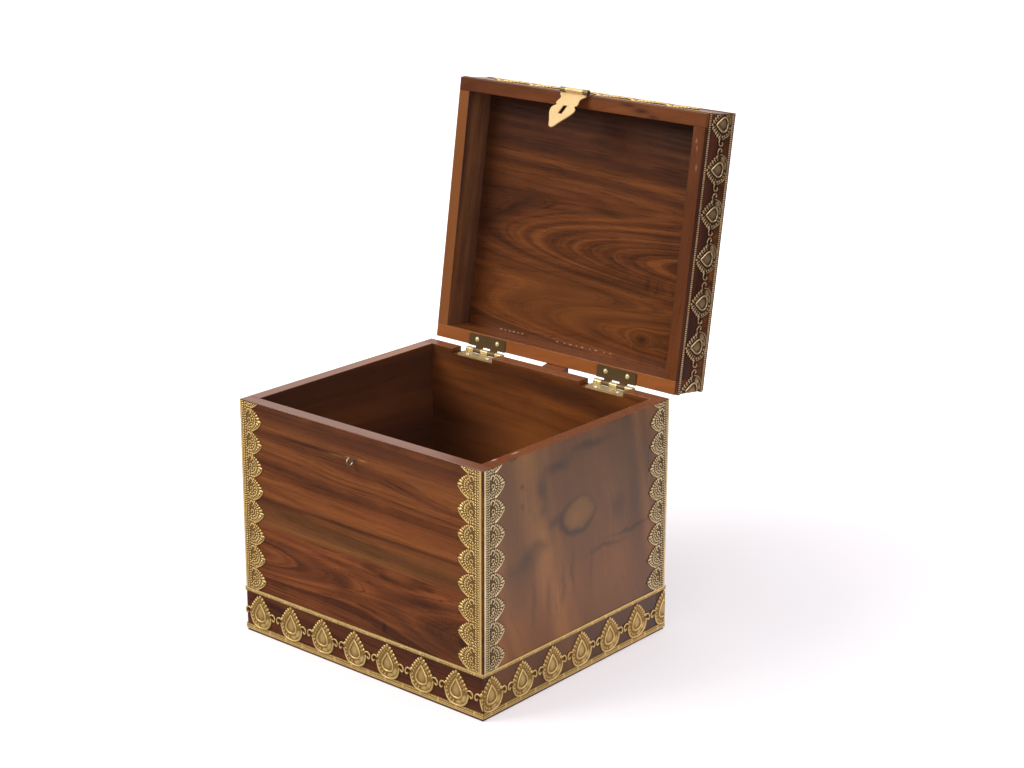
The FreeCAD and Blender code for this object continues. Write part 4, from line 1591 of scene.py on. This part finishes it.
@dataclass
class Studio:
    """White floor, white surroundings, soft lamps and the camera."""

    focal_pixels: float = 2167.0
    image_width: float = 1024.0
    azimuth: float = math.radians(40.54)
    elevation: float = math.radians(17.68)
    distance: float = 2.08894
    target: Triple = (0.07456, 0.0, 0.27863)
    roll: float = math.radians(0.17)
    behind: Triple = (0.62, 0.72, 0.0)
    above: Triple = (-0.25, 0.80, 0.45)
    aim: Triple = (0, 0, 0.22)
    floor_size: float = 14.0
    floor_level: float = -0.3 * MM
    floor_share: float = 0.60
    floor_glow: float = 0.44
    floor_haze: float = 0.9
    front_dusk: float = 0.06
    room_light: float = 0.45
    haze: tuple[float, ...] = (1.0, 0.90, 0.865, 1.0)
    shade: tuple[float, ...] = (1.02, 0.93, 0.99, 1.0)

    def build(self) -> None:
        """Sets up the whole studio."""
        self.camera()
        self.floor()
        self.world()
        self.lamp("key", (-1.15, -1.55, 1.75), 1.3, 42.0, (1.0, 0.985, 0.96))
        self.lamp("fill", (1.9, -1.1, 1.1), 1.6, 14.0, (0.96, 0.97, 1.0))
        self.lamp("top", (0.1, 0.2, 2.4), 1.8, 22.0, (1.0, 1.0, 1.0))
        bpy.context.scene.view_settings.view_transform = "Standard"

    def camera(self) -> None:
        """Places the camera where the photograph was taken from."""
        right = Vector((math.cos(self.azimuth), math.sin(self.azimuth), 0))
        level = Vector((math.sin(self.azimuth), -math.cos(self.azimuth), 0))
        back = level * math.cos(self.elevation) + Vector((0, 0, math.sin(self.elevation)))
        up = back.cross(right)
        data = bpy.data.cameras.new("camera")
        data.lens = self.focal_pixels * data.sensor_width / self.image_width
        data.clip_start = 0.05
        view = bpy.data.objects.new("camera", data)
        view.matrix_world = frame_matrix(
            right * math.cos(self.roll) + up * math.sin(self.roll),
            up * math.cos(self.roll) - right * math.sin(self.roll), back,
            Vector(self.target) + back * self.distance)
        bpy.context.collection.objects.link(view)
        bpy.context.scene.camera = view

    def floor(self) -> None:
        """Lays the floor: white to the camera, with the chest's shadow kept near it."""
        deselect()
        bpy.ops.mesh.primitive_plane_add(size=self.floor_size, location=(0, 0, self.floor_level))
        ground = apply_place()
        ground.name = "floor"
        made, tree, _ = new_material("floor")
        made.node_tree.nodes.clear()
        point = tree.node("TexCoord").outputs["Object"]
        distance = tree.vector("LENGTH", point)
        far = tree.spread(distance, 0.35, 1.1)
        near = tree.spread(distance, 1.25, 0.65)
        behind = tree.spread(tree.vector("DOT_PRODUCT", point, self.behind), -0.10, 0.35)
        rays = tree.node("LightPath").outputs
        white = tree.node("BsdfDiffuse", (self.floor_share,) * 3 + (1,))
        seen = tree.times(far, 1 - self.floor_glow, self.floor_glow)
        glow = tree.node("Emission", self.shade, tree.times(seen, rays["Is Camera Ray"]))
        both = tree.node("AddShader", white.outputs[0], glow.outputs[0])
        strength = tree.times(tree.times(behind, near), self.floor_haze - self.front_dusk,
                              self.front_dusk)
        mirror = tree.node("Emission", self.haze, strength)
        chosen = tree.node("MixShader", rays["Is Glossy Ray"], both.outputs[0], mirror.outputs[0])
        tree.node("OutputMaterial", chosen.outputs[0])
        ground.data.materials.append(made)

    def world(self) -> None:
        """Surrounds the chest with white, dusky at the front where the room is dark."""
        made = bpy.data.worlds.new("surroundings")
        bpy.context.scene.world = made
        made.use_nodes = True
        tree = Tree(made.node_tree)
        way = tree.node("TexCoord").outputs["Generated"]
        behind = tree.spread(tree.vector("DOT_PRODUCT", way, self.above), 0.15, 0.60)
        mirror = tree.times(behind, 1 - self.front_dusk, self.front_dusk)
        rays = tree.node("LightPath").outputs
        glossy = rays["Is Glossy Ray"]
        plain = tree.times(rays["Is Camera Ray"], 1 - self.room_light, self.room_light)
        share = tree.times(plain, tree.maths("SUBTRACT", 1.0, glossy))
        tree.fill(made.node_tree.nodes["Background"],
                  Color=tree.blend(glossy, (1, 1, 1, 1), self.haze),
                  Strength=tree.times(mirror, glossy, share))

    def lamp(self, name: str, place: Triple, size: float, power: float, colour: Triple) -> None:
        """Hangs a soft square lamp that points at the chest.

        Args:
            name: its name.
            place: where it hangs, in metres.
            size: its side.
            power: its power in watts.
            colour: its tint.
        """
        data = bpy.data.lights.new(name, "AREA")
        data.size = size
        data.energy = power
        data.color = colour
        light = bpy.data.objects.new(name, data)
        light.location = place
        way = Vector(self.aim) - Vector(place)
        light.rotation_euler = way.to_track_quat("-Z", "Y").to_euler()
        bpy.context.collection.objects.link(light)


def main() -> None:
    """Builds the chest and the studio."""
    joint = next(j for j in frame["joints"] if j["name"] == "lid_hinge")
    lid = LidPose(tuple(joint["pos_m"]))
    Woodwork(lid).dress()
    Hardware().dress()
    Trims(Chest(), lid, STAMPED.material(), SIDE_STAMPED_PAINTED_LIGHT.material(),
          DROP_STAMPED.material(), LID_STAMPED_PAINTED_SHADE.material()).build()
    Studio().build()


if __name__ == "__main__":
    main()
